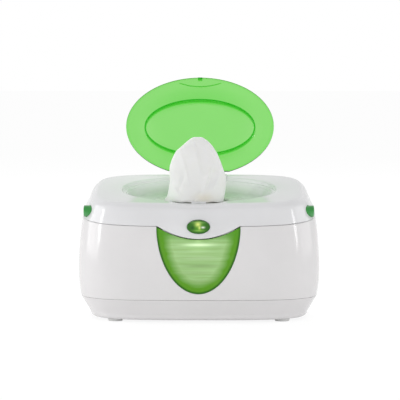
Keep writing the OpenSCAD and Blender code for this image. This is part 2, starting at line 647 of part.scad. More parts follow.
// Flip lid hinge in the frame of the top plane: a block with a pocket, and two ears
flip_axis = [recess_half[1] / cos(top_slope) - recess_y - 0.3, 0];
flip_ear_in = 27;
flip_ear_w = 4;
flip_r = 2.7;
spring_room = 11;
knuckle_len = flip_ear_in - spring_room - slide_gap;
module hinge_block() on_top() intersection() {
    union() {
        translate([-flip_ear_in - flip_ear_w, flip_axis[0] - 5.2, -8])
            cube([2 * (flip_ear_in + flip_ear_w), 11.2, 8 - eps]);
        for (s = [-1, 1]) translate([s * (flip_ear_in + flip_ear_w / 2), flip_axis[0], 0])
            across(flip_r + 0.3, flip_ear_w);
    }
    translate([-flip_ear_in - flip_ear_w, flip_axis[0] - 5.2, -20])
        cube([2 * (flip_ear_in + flip_ear_w), 11.2, 30]);
}
module hinge_pocket() on_top() {
    translate([0, flip_axis[0], 0]) across(flip_r + 0.5, 2 * flip_ear_in);
    translate([-flip_ear_in, flip_axis[0] - 5.3, -flip_r - 0.5]) cube([2 * flip_ear_in, 5.3, 12]);
    translate([0, flip_axis[0], 0]) across(flip_pin_r + 0.02, 3 * flip_ear_in);
}

// Liner below the lid, its collar round the slot, and the ribs behind the side buttons
liner_low = 1.6;
liner_t = 2;
liner_top = liner_low + liner_t;
liner_half = [lid_half_w - 9, front_seam_d - 12];
liner_power = 5;
collar_half = [52, 31];
collar_top = recess_h + lid_wall + slide_gap;
liner_edge = [16.2, 10.5];
liner_screw = [liner_half[0] - liner_edge[0], liner_half[1] - liner_edge[1]];
module at_liner_screws() for (s = [-1, 1], p = [[liner_screw[0], 38], [liner_screw[0], -12],
                                                [liner_half[0] / 2, liner_screw[1]]]) {
    $liner_y = p[1];
    translate([s * p[0], p[1], 0]) children();
}
function liner_ring(half, n, z) = ring_at(half[0], half[1], n, seam_z + z, seam_tilt);
module lid_liner() color("whitesmoke") difference() {
    union() {
        loft([liner_ring(liner_half, liner_power, liner_low),
              liner_ring(liner_half, liner_power, liner_top), liner_ring(collar_half, 2, liner_top),
              bowl_ring(collar_half, collar_top), bowl_ring(grown(collar_half, -1.8), collar_top),
              liner_ring(grown(collar_half, -1.8), 2, liner_low)], loop = true);
        both_sides() translate([latch_x - 16, -side_y - 8, seam_at(-side_y) + liner_low + 1.1])
            cube([2.4, 16, latch_z + 5 - seam_at(-side_y) - liner_low - 1.1]);
    }
    on_seam() at_liner_screws() translate([0, 0, -1]) cylinder(r = small_screw_r + 0.2, h = 8);
    both_sides() {
        translate([latch_x - side_travel - side_flange - 0.8, -side_y - side_len / 2 - 3,
                   seam_at(-side_y) - 6])
            cube([30, side_len + 6, 16]);
        translate([latch_x - 15, -side_y, latch_z]) across(2 + pin_play, 12);
    }
}
module liner_screws() color("gray") on_seam() at_liner_screws()
    translate([0, 0, liner_low * cos(seam_slope) - eps])
        screw(small_screw_r, 7 * small_screw_r, 2.1 * small_screw_r, 1.2 * small_screw_r);

seal_half = [tub_in[0] + tub_wall + 1, tub_in[1] + tub_wall + 1];
seal_w = 3;
seal_low = flange_t - shelf_drop + slide_gap;
module lid_seal() color("lightgray") loft([
    liner_ring(seal_half, tub_power, seal_low), liner_ring(seal_half, tub_power, liner_low),
    liner_ring(grown(seal_half, -seal_w), tub_power, liner_low),
    liner_ring(grown(seal_half, -seal_w), tub_power, seal_low)], loop = true);

module on_floor() translate([0, -recess_y, top_at(-recess_y) - recess_h])
    rotate([top_slope, 0, 0]) children();
module dispenser_insert() color("gainsboro") on_floor() difference() {
    union() {
        oval_prism(insert_half[0] + 4, insert_half[1] + 4, 1.4);
        translate([0, 0, -lid_wall - 0.2])
            oval_prism(insert_half[0] - 0.4, insert_half[1] - 0.4, lid_wall + 0.3);
    }
    translate([0, 0, -5]) slot_prism(slot_len, slot_wide, 10);
}

// Front button: an oval cap in the tongue, pushed inwards against a spring on a bracket
button_z = seam_at(-front_seam_d) + 0.2;
button_face = -front_seam_d - tongue_bulge - 1.8;
button_flange = 1.4;
skin_in = -front_seam_d - tongue_bulge + lid_wall + slide_gap + 0.9
          + lid_lean_y * (button_h / 2 + button_flange) / lid_h;
stem_r = 2.2;
bracket_size = [54, 1.8, 13.6];
bracket_y = -front_seam_d + 8.6;
// Latch finger of the front button, and the slot where it meets the flip lid's catch
finger_y = skin_in + 5.2;
finger_z = top_at(-recess_half[1] - recess_y) - 11.6;
catch_y = -recess_half[1] - recess_y + 4;
slot_back = catch_y + 8.6;
module catch_slot() translate([-6, catch_y - 1.4, finger_z - 1])
    cube([12, slot_back - catch_y + 1.4, 20]);
module catch_wall() translate([-8, slot_back - eps, top_at(slot_back) - recess_h - 1.5])
    cube([16, 2, recess_h + 1.5 - ledge_h]);
module front_button_prism(grow, depth) translate([0, button_face + depth - 4, button_z])
    rotate([90, 0, 0]) oval_prism(button_w / 2 + grow, button_h / 2 + grow, depth);
module front_button() color("limegreen") {
    translate([0, skin_in + 1.4, button_z]) rotate([90, 0, 0]) {
        oval_prism(button_w / 2 + 2, button_h / 2 + button_flange, 1.4);
        oval_prism(button_w / 2, button_h / 2, skin_in + 1.4 - button_face - 1);
        oval_prism(button_w / 2 - 1.2, button_h / 2 - 1.2, skin_in + 1.4 - button_face);
    }
    translate([0, skin_in, button_z]) rotate([-90, 0, 0])
        cylinder(r = stem_r, h = bracket_y - skin_in + 2.1);
    translate([-3, skin_in + 0.5, button_z + 4.4]) cube([6, finger_y - skin_in, 3]);
    translate([-3, finger_y, button_z + 4.4]) cube([6, 1.4, finger_z + 1.6 - button_z - 4.4]);
    translate([-3, finger_y, finger_z]) cube([6, catch_y + 5.8 - finger_y, 1.6]);
    translate([-3, catch_y + 3.7, finger_z]) cube([6, 2.1, 5.2]);
}
module at_bracket_screws() for (s = [-1, 1])
    translate([s * (bracket_size[0] / 2 - 5), bracket_y, button_z + 6]) children();
module button_bracket() color("whitesmoke") difference() {
    translate([-bracket_size[0] / 2, bracket_y, button_z - 3.6]) cube(bracket_size);
    translate([0, bracket_y + 3, button_z]) rotate([90, 0, 0]) cylinder(r = stem_r + pin_play, h = 8);
    translate([-3.8, bracket_y - 1, button_z + 4.1]) cube([7.6, 4, 10]);
    at_bracket_screws() rotate([90, 0, 0]) translate([0, 0, -4])
        cylinder(r = small_screw_r + 0.2, h = 8);
}
module bracket_screws() color("gray") at_bracket_screws() translate([0, bracket_size[1], 0])
    rotate([90, 0, 0]) screw(small_screw_r, 6 * small_screw_r, 2 * small_screw_r, 1.1 * small_screw_r);
module button_spring() color("silver") translate([0, skin_in + 1.5, button_z]) rotate([-90, 0, 0])
    coil(3.4, 0.35, bracket_y - skin_in - 1.6, 5);

// Side buttons: an oval cap on each side of the lid with a flange, a guide stem and a latch arm
module side_prism(grow, depth) translate([side_face + side_out - depth, -side_y, latch_z])
    rotate([90, 0, 90]) oval_prism(side_len / 2 + grow, side_high / 2 + grow, depth + 3);
module side_button() color("limegreen") {
    translate([latch_x, -side_y, latch_z]) rotate([90, 0, 90]) {
        translate([0, 0, -side_flange]) {
            oval_prism(side_len / 2 + 1.3, side_high / 2 + 0.3, 1.1);
            oval_prism(side_len / 2, side_high / 2, side_flange + 1);
        }
        oval_prism(side_len / 2, side_high / 2, side_face + side_out - latch_x - 1.2);
        oval_prism(side_len / 2 - 1.2, side_high / 2 - 1.2, side_face + side_out - latch_x);
    }
    translate([latch_x - 18, -side_y, latch_z]) rotate([0, 90, 0]) cylinder(r = 2, h = 18.5);
    translate([latch_x + 3, -side_y - 3, seam_at(-side_y) - 8])
        cube([1.8, 6, latch_z - seam_at(-side_y) + 4]);
    translate([latch_x + 3, -side_y - 3, seam_at(-side_y) - 10]) cube([3.3, 6, 2.1]);
}
module side_button_left() mirror([1, 0, 0]) side_button();
module side_button_right() side_button();
module side_spring_left() mirror([1, 0, 0]) side_spring_right();
module side_spring_right() color("silver")
    translate([latch_x - 13.5, -side_y, latch_z]) rotate([0, 90, 0])
        coil(3.2, 0.35, 13.4 - side_flange, 6);

// Flip lid, drawn closed in the frame of the top plane and swung open about its pin
flip_open = 90 + top_slope + flip_lean;
// Middle of the bounding box, between the front button's face and the open flip lid's edge
flip_reach = recess_d / 2 - lid_clear + recess_y + flip_axis[0];
frame_y = (flip_axis[0] * cos(top_slope) + flip_reach * sin(flip_lean) + button_face) / 2;
module flipped() on_top() translate([0, flip_axis[0], flip_axis[1]]) rotate([-flip_open, 0, 0])
    translate([0, -flip_axis[0], -flip_axis[1]]) children();
flip_half = [recess_w / 2 - lid_clear, recess_d / 2 - lid_clear];
function flat_ring(a, b, z) = [for (t = [0:7.5:352.5]) [a * cos(t), b * sin(t) - recess_y, z]];
function dome_at(s) = flip_crown * (1 - s * s);
function dome_ring(s, low) = flat_ring(flip_half[0] * s, flip_half[1] * s, dome_at(s) - low);
ridge_t = 1.8;
// The ridge stands nearer to the hinge than the lid's middle
function ridge_ring(grow, z) =
    [for (p = flat_ring(ridge_w / 2 + grow, ridge_d / 2 + grow, z)) p + [0, recess_y + 1, 0]];
module flip_lid() color([0.45, 0.85, 0.35, 0.6]) flipped() {
    difference() {
        union() {
            loft([dome_ring(0.15, flip_t), dome_ring(0.35, flip_t),
                  ridge_ring(-ridge_t, dome_at(0.66) - flip_t), ridge_ring(-ridge_t, -ridge_h),
                  ridge_ring(0, -ridge_h), ridge_ring(0, dome_at(0.7) - flip_t),
                  dome_ring(0.87, flip_t), dome_ring(0.965, flip_t), dome_ring(0.97, flip_t + 0.4),
                  dome_ring(1, flip_t + 0.4), dome_ring(1, 0), dome_ring(0.9, 0), dome_ring(0.75, 0),
                  dome_ring(0.55, 0), dome_ring(0.35, 0), dome_ring(0.15, 0)]);
            grip();
            translate([-4, catch_local - 1, -flip_t - 7]) cube([8, 2, 7.5]);
        }
        translate([-flip_ear_in - 0.5, flip_axis[0] - 3, -10]) cube([2 * flip_ear_in + 1, 10, 20]);
        both_sides() translate([flip_ear_in - 0.6, flip_axis[0] - 6, -10])
            cube([flip_ear_w + 1.4, 10, 20]);
    }
    difference() {
        union() for (s = [-1, 1])
            translate([s * (flip_ear_in + spring_room - slide_gap) / 2, flip_axis[0], 0]) {
                across(flip_r, knuckle_len);
                translate([-knuckle_len / 2, -4.2, -2]) cube([knuckle_len, 4.2, 2]);
            }
        translate([0, flip_axis[0], 0]) across(flip_pin_r + pin_play, 3 * flip_ear_in);
    }
}
// Catch tongue under the free edge, in the frame of the top plane
catch_local = (catch_y + 0.9) / cos(top_slope);
// Crescent thumb grip at the free edge
module grip() intersection() {
    translate([0, -recess_y, -flip_t - 0.4]) oval_prism(flip_half[0], flip_half[1], flip_t + 0.4);
    translate([0, -recess_y - flip_half[1] - 53.7, -10]) cylinder(r = 65, h = 20);
}
module flip_hinge_pin() color("silver") on_top() translate([0, flip_axis[0], 0])
    across(flip_pin_r, 2 * (flip_ear_in + flip_ear_w) + 1);
module flip_spring() color("silver") on_top() translate([-10, flip_axis[0], 0]) rotate([0, 90, 0])
    coil(2.0, 0.4, 20, 9);

// Pulled-up wipe: a gathered sheet standing in the slot, narrow where it passes through
wipe_neck = [slot_len / 3, slot_wide / 2 - 0.75];
wipe_foot = 2.6;
wipe_hang = 9;
wipe_lean = 10;
wipe_shares = [0.07, 0.14, 0.24, 0.36, 0.48, 0.6, 0.72, 0.82, 0.9, 0.96, 1];
function wipe_lobe(t, f) = 1 + (0.10 + 0.10 * (1 - f)) * cos(5 * t + 40) + 0.05 * cos(9 * t + 160 * f);
function wipe_fall(f, from, over, power) =
    pow(max(0.02, 1 - pow(max(0, f - from) / over, power)), 0.5);
function wipe_half(f) = f < 0 ? wipe_neck :
    [mix(0.82, 1, sin(90 * min(1, f / 0.2))) * wipe_w / 2.2 * wipe_fall(f, 0.42, 0.6, 1.9),
     mix(0.08, 0.22, sin(90 * min(1, f / 0.35))) * wipe_w * wipe_fall(f, 0.3, 0.71, 2)];
module pop_up_wipe() color("whitesmoke") loft([
    for (z = [-wipe_hang, wipe_foot, each wipe_shares * wipe_h]) let (
        neck = z <= wipe_foot, f = neck ? -1 : z / wipe_h, half = wipe_half(f),
        lean = neck ? 0 : -wipe_lean * sin(162 * f))
        [for (t = [0:10:350]) let (r = neck ? 1 : wipe_lobe(t, f))
            [half[0] * r * cos(t) - (neck ? 0 : 3 * f), half[1] * r * sin(t) + lean - recess_y,
             top_at(-recess_y) - recess_h + z]]]);

placed() outer_shell();
placed() base_pan();
placed() rubber_feet();
placed() base_screws();
placed() wipe_tub();
placed() view_window();
placed() heater_plate();
placed() heater_film();
placed() insulation_pad();
placed() plate_screws();
placed() thermostat();
placed() thermal_fuse();
placed() control_board();
placed() board_screws();
placed() dc_inlet();
placed() inlet_nut();
placed() inlet_wires();
placed() heater_wires();
placed() led_board();
placed() led_screws();
placed() led_wires();
placed() hinge_pins();
placed() wipe_stack();
placed() lid_cover();
placed() lid_liner();
placed() liner_screws();
placed() lid_seal();
placed() dispenser_insert();
placed() button_bracket();
placed() bracket_screws();
placed() button_spring();
placed() side_spring_left();
placed() side_spring_right();
placed() flip_hinge_pin();
placed() flip_spring();
placed() pop_up_wipe();
placed() flip_lid();
placed() front_button();
placed() side_button_left();
placed() side_button_right();
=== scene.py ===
# Baby wipe warmer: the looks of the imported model, in metres and in its frame.
# Lengths inside this script are millimetres about the middle of the plan, as in the part's
# source, and to_row() turns them into the frame's metres.
import json
from math import cos, exp, pi, radians, sin, tan
import bmesh
import bpy
import numpy as np
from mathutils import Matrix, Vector

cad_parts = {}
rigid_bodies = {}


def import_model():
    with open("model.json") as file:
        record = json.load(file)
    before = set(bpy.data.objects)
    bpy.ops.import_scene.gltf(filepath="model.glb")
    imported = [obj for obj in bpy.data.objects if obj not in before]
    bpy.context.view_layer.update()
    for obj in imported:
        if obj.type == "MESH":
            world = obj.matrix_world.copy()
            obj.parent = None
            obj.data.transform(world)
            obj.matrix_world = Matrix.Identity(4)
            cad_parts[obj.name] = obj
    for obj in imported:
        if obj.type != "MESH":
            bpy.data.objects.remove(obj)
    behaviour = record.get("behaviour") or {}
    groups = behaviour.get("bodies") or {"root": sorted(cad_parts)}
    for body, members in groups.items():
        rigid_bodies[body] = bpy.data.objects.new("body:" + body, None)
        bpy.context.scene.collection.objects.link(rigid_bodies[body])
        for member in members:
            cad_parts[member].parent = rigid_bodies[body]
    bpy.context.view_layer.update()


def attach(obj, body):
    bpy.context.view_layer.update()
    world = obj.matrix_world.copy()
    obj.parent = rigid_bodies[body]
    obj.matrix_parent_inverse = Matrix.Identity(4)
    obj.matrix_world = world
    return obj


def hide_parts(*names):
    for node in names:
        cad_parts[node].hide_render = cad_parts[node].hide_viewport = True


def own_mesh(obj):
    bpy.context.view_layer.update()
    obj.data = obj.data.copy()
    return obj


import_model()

ROW_Y = 11.0278
BASE_Z, SEAM_Z, TOP_Z = 26.5, 117.0683, 142.5683
HALF_W, HALF_D, PLAN_POWER = 134.0, 86.0, 3.5
WALL = 2.6
SEAM_D = 82.0
SEAM_SLOPE, TOP_SLOPE, FLIP_LEAN = 7.0, 8.5, 25.0
SEAM_TILT, TOP_TILT = tan(radians(SEAM_SLOPE)), tan(radians(TOP_SLOPE))
HINGE_X, HINGE_YZ = 62.0, (88.5, 127.137)
SCREW_X, SCREW_Y = 68, 56
PAN_W, PAN_D = 131.4, 84
TUB_W, TUB_D, TUB_Z, TUB_WALL = 110.5, 65, 35.9, 1.8
LID_W, LID_H, LID_ROUND, LID_WALL = 129.2, 25.5, 5.0, 2.4
LID_LEAN = (12.5, 7.5)
TONGUE_HALF, TONGUE_DROP = 45.0, 13.4
WINDOW_HALF, WINDOW_TOP, WINDOW_H, WINDOW_POWER = 46.0, 107.0, 73.6, 1.95
RECESS_Y, LEDGE_H, RECESS_H = 2.0, 3.2, 14.0


def seam_at(y):
    return SEAM_Z + SEAM_TILT * y


def top_at(y):
    return TOP_Z + TOP_TILT * y


def mix(a, b, f):
    return a + (b - a) * f


# ---------------- meshes

def to_row(points):
    points = np.asarray(points, float).reshape(-1, 3)
    return (points - [0, ROW_Y, 0]) * 0.001


def xyz(x, y, z):
    return np.column_stack(np.broadcast_arrays(x, y, z))


def new_object(name, data):
    obj = bpy.data.objects.new(name, data)
    bpy.context.scene.collection.objects.link(obj)
    return obj


def mesh_object(name, points, faces):
    """Object from millimetre points: doubles merged, faces outwards."""
    mesh = bpy.data.meshes.new(name)
    mesh.from_pydata(to_row(points).tolist(), [], faces)
    bm = bmesh.new()
    bm.from_mesh(mesh)
    bmesh.ops.remove_doubles(bm, verts=bm.verts, dist=1e-6)
    bmesh.ops.dissolve_degenerate(bm, edges=bm.edges, dist=1e-7)
    bmesh.ops.recalc_face_normals(bm, faces=bm.faces)
    bm.to_mesh(mesh)
    bm.free()
    return new_object(name, mesh)


def band(first, second, m, closed=True):
    return [(first + k, second + k, second + (k + 1) % m, first + (k + 1) % m)
            for k in range(m if closed else m - 1)]


def loft(name, rings, loop=False, closed=True):
    """Skin through rings of the same count. loop joins the last ring to the first."""
    m, last = len(rings[0]), len(rings) - 1
    faces = []
    for i in range(last):
        faces += band(i * m, (i + 1) * m, m, closed)
    if loop:
        faces += band(last * m, 0, m, closed)
        if not closed:
            faces += [tuple(i * m for i in range(last, -1, -1)),
                      tuple(i * m + m - 1 for i in range(last + 1))]
    elif closed:
        faces += [tuple(range(m)), tuple(last * m + k for k in range(m - 1, -1, -1))]
    return mesh_object(name, np.vstack(rings), faces)


def prism(name, outline, depth, place):
    """Solid of a flat outline, drawn along its own +Z and put in place by a function."""
    m = len(outline)
    points = [(x, y, z) for z in (0.0, depth) for x, y in outline]
    faces = band(0, m, m) + [tuple(range(m)), tuple(range(2 * m - 1, m - 1, -1))]
    return mesh_object(name, place(np.array(points)), faces)


def crosswise(points, start, y, z):
    """An upright outline's points, with its depth turned to run along X."""
    return points[:, [2, 0, 1]] + [start, y, z]


def oval(a, b, count=64):
    return [(a * cos(2 * pi * i / count), b * sin(2 * pi * i / count))
            for i in range(count)]


def oval_ring(a, b, z, count):
    return xyz(*np.array(oval(a, b, count)).T, z)


def arc_points(radius, start, end, count):
    return [(radius * cos(a), radius * sin(a))
            for a in np.radians(np.linspace(start, end, count))]


def block(name, low, size):
    x, y, z = low
    return prism(name, [(x, y), (x + size[0], y), (x + size[0], y + size[1]), (x, y + size[1])],
                 size[2], lambda p: p + [0, 0, z])


def rod(name, centre, axis, radius, length, count=32):
    """Cylinder from its centre along y or z."""
    order = {"y": [1, 2, 0], "z": [0, 1, 2]}[axis]
    return prism(name, oval(radius, radius, count), length,
                 lambda p: (p - [0, 0, length / 2])[:, order] + centre)


def join(name, parts):
    """One object of several meshes, kept as they are."""
    bm = bmesh.new()
    for part in parts:
        bm.from_mesh(part.data)
        bpy.data.objects.remove(part)
    mesh = bpy.data.meshes.new(name)
    bm.to_mesh(mesh)
    bm.free()
    return new_object(name, mesh)


def bake(obj, kind, **settings):
    """Applies one modifier, given as its kind and its settings."""
    made = obj.modifiers.new(kind.title(), kind)
    for key, value in settings.items():
        setattr(made, key, value)
    bpy.context.view_layer.update()
    done = obj.evaluated_get(bpy.context.evaluated_depsgraph_get())
    mesh = bpy.data.meshes.new_from_object(done)
    obj.modifiers.clear()
    obj.data = mesh
    return obj


def cut(obj, *cutters):
    """Takes the cutters' solids away from obj."""
    tool = join("cutter", cutters)
    bake(obj, "BOOLEAN", operation="DIFFERENCE", solver="EXACT", object=tool, use_self=True)
    bpy.data.objects.remove(tool)
    return obj


def soften(obj, width, degrees=40, segments=3):
    return bake(obj, "BEVEL", width=width * 0.001, segments=segments, limit_method="ANGLE",
                angle_limit=radians(degrees), harden_normals=False, use_clamp_overlap=True)


def lug(outline, length, start, y, z, width, degrees=30, to_body=lambda p: p):
    """Softened bar along X, of an outline seen from the side."""
    bar = prism("lug", outline, length, lambda p: to_body(crosswise(p, start, y, z)))
    return soften(bar, width, degrees, 2)


def smooth(obj, degrees=32):
    obj.data.polygons.foreach_set("use_smooth", [True] * len(obj.data.polygons))
    obj.data.set_sharp_from_angle(angle=radians(degrees))
    return obj


def dress(obj, body, material, *nodes, slot=None):
    """Gives a finished piece its material and its body, and hides the CAD nodes that it stands for.
    """
    obj.data.materials.clear()
    obj.data.materials.append(material)
    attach(obj, body)
    if nodes:
        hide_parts(*nodes)
    return obj


# ---------------- plan curves

class Plan:
    """Columns round a superellipse plan: set widths across the front, then even turns."""

    def __init__(self, widths, turns):
        k = len(widths) + turns
        order = np.r_[0:k, k - 2:-1:-1, 1:k, k - 2:0:-1]
        width = np.r_[widths, np.full(turns, np.nan)]
        share = np.r_[np.zeros(len(widths)), np.arange(1, turns + 1) / turns]
        self.width, self.share = width[order], share[order]
        self.flat = ~np.isnan(self.width)
        self.zone = widths[-1]
        self.sx = np.r_[np.ones(2 * k - 1), -np.ones(len(order) - 2 * k + 1)]
        self.sy = np.r_[-np.ones(k), np.ones(2 * k - 2), -np.ones(len(order) - 3 * k + 2)]

    def points(self, a, b, n):
        a, b = a + 0 * self.share, b + 0 * self.share
        zone = np.minimum(self.zone, 0.75 * a)
        start = np.arctan2(b * (1 - (zone / a) ** n) ** (1 / n), zone)
        turn = start * (1 - self.share)
        reach = ((np.cos(turn) / a) ** n + (np.sin(turn) / b) ** n) ** (-1 / n)
        x = np.where(self.flat, self.width * zone / self.zone, reach * np.cos(turn))
        flat_y = b * (1 - np.minimum(np.abs(x) / a, 1) ** n) ** (1 / n)
        return self.sx * x, self.sy * np.where(self.flat, flat_y, reach * np.sin(turn))


def lean_in(f, k):
    """How far the casing's sides (k 0) or front (k 1) lean in at a share f of its height."""
    top, foot = (4.8, 4.0)[k], (2.6, 2.0)[k]
    widest = 0.35
    f = np.asarray(f, float)
    return np.where(f > widest, top * (np.maximum(f - widest, 0) / (1 - widest)) ** 1.8,
                    foot * (np.maximum(widest - f, 0) / widest) ** 2.2)


def casing_ring(plan, f, inset=0.0, lift=0.0):
    f = f + 0 * plan.share
    x, y = plan.points(HALF_W - lean_in(f, 0) - inset, HALF_D - lean_in(f, 1) - inset, PLAN_POWER)
    return xyz(x, y, mix(BASE_Z, SEAM_Z, f) + lift + f * SEAM_TILT * y)


def casing_front(x, z):
    """Depth of the casing's front at a width and height, and its share of the height."""
    low, high = np.zeros_like(x), np.full_like(x, 1.2)
    for _ in range(40):
        f = (low + high) / 2
        away = (np.abs(x) / (HALF_W - lean_in(f, 0))) ** PLAN_POWER
        y = -(HALF_D - lean_in(f, 1)) * (1 - away) ** (1 / PLAN_POWER)
        below = mix(BASE_Z, SEAM_Z, f) + f * SEAM_TILT * y < z
        low, high = np.where(below, f, low), np.where(below, high, f)
    return y, (low + high) / 2


def window_low(x, grow=0.0):
    share = np.clip(np.abs(x) / (WINDOW_HALF + grow), 0, 1)
    return WINDOW_TOP - (WINDOW_H + grow) * (1 - share ** WINDOW_POWER) ** (1 / WINDOW_POWER)


def tongue_at(x):
    return np.where(np.abs(x) < TONGUE_HALF, TONGUE_DROP * (1 - (x / TONGUE_HALF) ** 2), 0)


def edge_rings(outer, inner, before, radius, steps=4):
    """Rings of a rounded wall edge, from the outer face over to the inner one."""
    across = outer - inner
    half = np.linalg.norm(across, axis=1, keepdims=True) / 2
    across = across / (2 * half)
    up = outer - before
    up = up / np.maximum(np.linalg.norm(up, axis=1, keepdims=True), 1e-9)
    middle = (outer + inner) / 2
    rings = []
    for side in (1, -1):
        for t in np.linspace(0, pi / 2, steps + 1)[::side]:
            rings.append(middle + side * across * (half - radius + radius * cos(t))
                         + up * radius * (sin(t) - 1))
    return rings


# ---------------- materials

def feed(tree, to, value):
    """Gives a socket a link from another node, or else a value of its own."""
    if isinstance(value, bpy.types.NodeSocket):
        tree.links.new(value, to)
    else:
        to.default_value = (*value, 1)[:4] if to.type == "RGBA" else value


def fill(tree, sockets, values):
    for key, value in values.items():
        feed(tree, sockets[key], value)


def node(tree, kind, values={}, **settings):
    made = tree.nodes.new("ShaderNode" + kind)
    for key, value in settings.items():
        setattr(made, key, value)
    fill(tree, made.inputs, values)
    return made


def noise(tree, vector, scale, detail=3.0, rough=0.5):
    return node(tree, "TexNoise", {"Vector": vector, "Scale": scale, "Detail": detail,
                                   "Roughness": rough}).outputs["Fac"]


def stretch(tree, vector, scale):
    return node(tree, "Mapping", {"Vector": vector, "Scale": scale}).outputs["Vector"]


def maths(tree, kind, *values):
    return node(tree, "Math", dict(enumerate(values)), operation=kind).outputs[0]


def vector_maths(tree, kind, *values):
    return node(tree, "VectorMath", dict(enumerate(values)), operation=kind).outputs


def span(tree, value, low, high, to_low=0.0, to_high=1.0):
    return node(tree, "MapRange", {"Value": value, "From Min": low, "From Max": high,
                                   "To Min": to_low, "To Max": to_high}).outputs["Result"]


def blend_colour(tree, share, first, second):
    return node(tree, "Mix", {0: share, 6: first, 7: second}, data_type="RGBA").outputs[2]


def bump(tree, height, strength, distance):
    return node(tree, "Bump", {"Height": height, "Strength": strength,
                               "Distance": distance}).outputs["Normal"]


def object_space(tree):
    return node(tree, "TexCoord").outputs["Object"]


def node_group(name, inputs, outputs):
    """Node group with its sockets. Four numbers stand for a colour and three for a vector."""
    tree = bpy.data.node_groups.new(name, "ShaderNodeTree")
    for key, value in inputs.items():
        kind = {4: "Color", 3: "Vector", 1: "Float"}[np.size(value)]
        made = tree.interface.new_socket(name=key, in_out="INPUT", socket_type="NodeSocket" + kind)
        made.default_value = value
    for key, kind in outputs.items():
        tree.interface.new_socket(name=key, in_out="OUTPUT", socket_type="NodeSocket" + kind)
    return tree, tree.nodes.new("NodeGroupInput").outputs, tree.nodes.new("NodeGroupOutput").inputs


SURFACE = {"Colour": "Color", "Roughness": "Float", "Normal": "Vector"}


def moulded_group():
    """Moulded plastic: slow waviness of the tool, fine grain, cloudy gloss and colour."""
    tree, given, result = node_group("moulded_surface", {
        "Colour": (0.8, 0.8, 0.8, 1), "Clouded colour": (0.78, 0.78, 0.78, 1), "Smoothest": 0.15,
        "Roughest": 0.25, "Grain scale": 2500.0, "Grain depth": 0.1}, SURFACE)
    place = object_space(tree)
    cloud = noise(tree, place, 22.0, 4.0, 0.6)
    wave = noise(tree, place, 60.0, 1.0)
    grain = noise(tree, place, given["Grain scale"], 2.0)
    height = maths(tree, "ADD", maths(tree, "MULTIPLY", wave, 0.25),
                   maths(tree, "MULTIPLY", grain, given["Grain depth"]))
    share = span(tree, cloud, 0.3, 0.7)
    fill(tree, result, {
        "Colour": blend_colour(tree, share, given["Colour"], given["Clouded colour"]),
        "Roughness": span(tree, cloud, 0.25, 0.75, given["Smoothest"], given["Roughest"]),
        "Normal": bump(tree, height, 1.0, 0.00012)})
    return tree


def metal_group():
    """Drawn or turned metal: lines along one axis, dull patches."""
    tree, given, result = node_group("drawn_metal", {
        "Colour": (0.6, 0.6, 0.6, 1), "Dull colour": (0.5, 0.5, 0.5, 1), "Roughness": 0.3,
        "Line depth": 0.3}, SURFACE)
    place = object_space(tree)
    lines = noise(tree, stretch(tree, place, (150, 6000, 6000)), 1.0)
    share = span(tree, noise(tree, place, 180.0), 0.35, 0.65)
    height = maths(tree, "MULTIPLY", lines, given["Line depth"])
    fill(tree, result, {
        "Colour": blend_colour(tree, share, given["Colour"], given["Dull colour"]),
        "Roughness": maths(tree, "ADD", given["Roughness"], maths(tree, "MULTIPLY", lines, 0.12)),
        "Normal": bump(tree, height, 0.6, 0.00003)})
    return tree


def spot_group():
    """Soft patch round a place, in object space: 1 at its centre, 0 from its size outwards."""
    tree, given, result = node_group("soft_patch", {
        "Centre": (0, 0, 0), "Reach": (0.01, 1.0, 0.01)}, {"Mask": "Float"})
    away = vector_maths(tree, "SUBTRACT", object_space(tree), given["Centre"])["Vector"]
    share = vector_maths(tree, "DIVIDE", away, given["Reach"])["Vector"]
    far = vector_maths(tree, "LENGTH", share)["Value"]
    fall = maths(tree, "MULTIPLY", maths(tree, "MULTIPLY", far, far), -2.2)
    fill(tree, result, {"Mask": maths(tree, "EXPONENT", fall)})
    return tree


